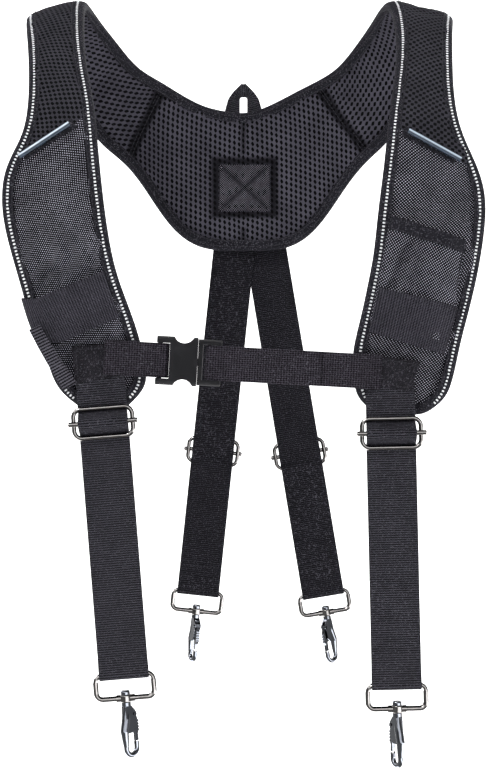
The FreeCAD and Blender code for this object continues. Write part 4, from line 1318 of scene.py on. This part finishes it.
def make_hang_loop():
    """A webbing tape bent round into a loop and sewn flat to the top of the back."""
    y = 100 + PAD_HALF + 0.6 + WEB_THICK
    width = 13.6
    fall = np.linspace(0, 1, 18)
    inner = [(-3.3, -66 + 26 * k) for k in fall]
    outer = [(-18.5 + 3.5 * k ** 2, -66 + 22 * k) for k in fall]
    for turn in np.linspace(0, 1, 14)[1:]:
        inner.append((-3.3 + 0.5 * turn, -40 + 1.2 * turn))
        outer.append((-15.0 + 12.6 * turn ** 1.25, -44 + 17.4 * turn ** 0.8))
    for x in np.linspace(-2.4, 0, 5)[1:]:
        inner.append((x, -38.8))
        outer.append((x, -26.6 - 0.15 * (2.4 + x)))
    inner, outer = np.array(inner), np.array(outer)
    mirror = np.array((-1.0, 1.0))
    inner = np.concatenate((inner, inner[-2::-1] * mirror))
    outer = np.concatenate((outer, outer[-2::-1] * mirror))
    share = np.linspace(0, 1, 10)[None, :, None]
    flat = inner[:, None] * (1 - share) + outer[:, None] * share
    x, z = flat[..., 0], flat[..., 1]
    sunk = 3.2 * (1 - smoothstep(np.abs(x), 1.2, 3.6)) * smoothstep(z, -43, -39)
    middle = np.stack((flat[..., 0], y - sunk, flat[..., 1]), axis=-1)
    centre = flat.mean(axis=1)
    run = along_line(centre)
    across = (share[0, :, 0] - 0.5) * width
    uv = spread(across[None, :], run[:, None]) * MM
    off = np.array((0.0, 0.65, 0.0))
    obj = slab_mesh("hang_loop_web", middle + off, middle - off, uv, [WEB])[0]
    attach(obj, "root")
    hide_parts("hang_loop")


def make_yoke_stitches():
    """The stitching along the binding, and on both sides of the quilted seams."""
    lines = []
    behind = (LEFT_CREST + 60, RIGHT_CREST - 60)
    for from_arm in (False, True):
        lines.append(yoke_line(10, TOTAL - 10, 8.2, from_arm, 0.95))
        lines.append(yoke_line(10, TOTAL - 10, 3.4, from_arm, 1.15, -1))
        lines.append(yoke_line(*behind, 8.2, from_arm, 0.95, -1))
    for ends in (LEFT_SEAM, RIGHT_SEAM):
        t = np.linspace(0.1, 0.9, 40)
        for face in (-1, 1):
            for beside in (-1.3, 1.3):
                at = seam_at(ends, t) + beside
                points, out = yoke(at, t, face * (PAD_HALF * puff(t) * seam_channel(at, t) + 0.1))
                lines.append((points, out * face))
    stitches("yoke_stitches", lines, "root", 3.2, 2.6, 0.3)


# Materials of the hardware ---------------------------------------------------------------
def dress(node, material):
    """Give a CAD node its material."""
    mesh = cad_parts[node].data
    mesh.materials.clear()
    mesh.materials.append(material)


def dress_hardware():
    for name in STRAPS:
        for part in ("adjuster_frame", "adjuster_pin", "hook_frame"):
            dress(f"{name}_{part}", STEEL)
        for part in ("hook_body", "hook_gate", "gate_spring"):
            dress(f"{name}_{part}", CHROME)
    dress("hanger_tubes", TUBE)
    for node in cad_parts:
        if node.startswith("buckle"):
            dress(node, BUCKLE)


# Stage -----------------------------------------------------------------------------------
def make_stage():
    """A pale floor that sweeps up into a round wall, lights, and the camera."""
    s = Shader("pale_floor")
    speck = s.noise(30.0, 4.0)
    split = s.node("ShaderNodeSeparateXYZ")
    s.plug(s.place(), split.inputs[0])
    s.finish(s.mix(speck, srgb(240, 240, 242), srgb(248, 248, 248)), 0.9,
             Emission_Color=(1, 1, 1, 1))
    glow = s.times(s.band(split.outputs[2], 1100.0, 1900.0, 0.95, 0.04),
                   s.band(split.outputs[1], -1500.0, 110.0, 0.03, 1.0))
    s.plug(glow, s.surface.inputs["Emission Strength"])
    floor_z, radius, rise = -660.0, 3600.0, 3200.0
    profile = [(0.0, floor_z), (1200.0, floor_z), (2400.0, floor_z)]
    profile += [(2800 + 800 * math.sin(a), floor_z + 800 - 800 * math.cos(a))
                for a in np.linspace(0, math.pi / 2, 12)]
    profile.append((radius, floor_z + rise))
    turns = 72
    verts = [(r * math.cos(k * 2 * math.pi / turns), r * math.sin(k * 2 * math.pi / turns), z)
             for r, z in profile for k in range(turns)]
    floor = make_mesh("floor", verts, ring_faces(len(profile), turns)[:, ::-1], None, [s.material])

    world = bpy.data.worlds.new("soft_studio")
    world.use_nodes = True
    world.node_tree.nodes["Background"].inputs[0].default_value = (1, 1, 1, 1)
    world.node_tree.nodes["Background"].inputs[1].default_value = 0.08
    bpy.context.scene.world = world
    aim = Vector((0, 0, -0.3))
    for name, spot, size, power in (("key", (-0.9, -1.2, 1.3), 0.5, 22),
                                    ("fill", (1.5, -1.0, 0.4), 0.6, 7),
                                    ("top", (0.2, -0.1, 1.5), 0.5, 12),
                                    ("behind", (0.9, 1.5, 0.6), 0.7, 12)):
        light = bpy.data.lights.new(name, "AREA")
        light.energy = power
        light.size = size
        lamp = bpy.data.objects.new(name, light)
        lamp.location = spot
        lamp.rotation_euler = (aim - Vector(spot)).to_track_quat("-Z", "Y").to_euler()
        bpy.context.scene.collection.objects.link(lamp)

    camera = bpy.data.cameras.new("camera")
    camera.sensor_width = 36.0
    camera.lens = 36.0 * 1500 / 775    # 1500 pixels of distance in an image 775 pixels high
    eye = bpy.data.objects.new("camera", camera)
    eye.location = (0, -1.247, -0.300)
    eye.rotation_euler = (math.pi / 2, 0, 0)
    bpy.context.scene.collection.objects.link(eye)
    bpy.context.scene.camera = eye


make_pads()
make_binding()
make_trims()
make_fittings()
make_chest_straps()
make_back_fittings()
make_hang_loop()
make_yoke_stitches()
for strap_name in STRAPS:
    make_strap(strap_name)
dress_hardware()
make_stage()
bpy.context.scene.view_settings.view_transform = "Standard"
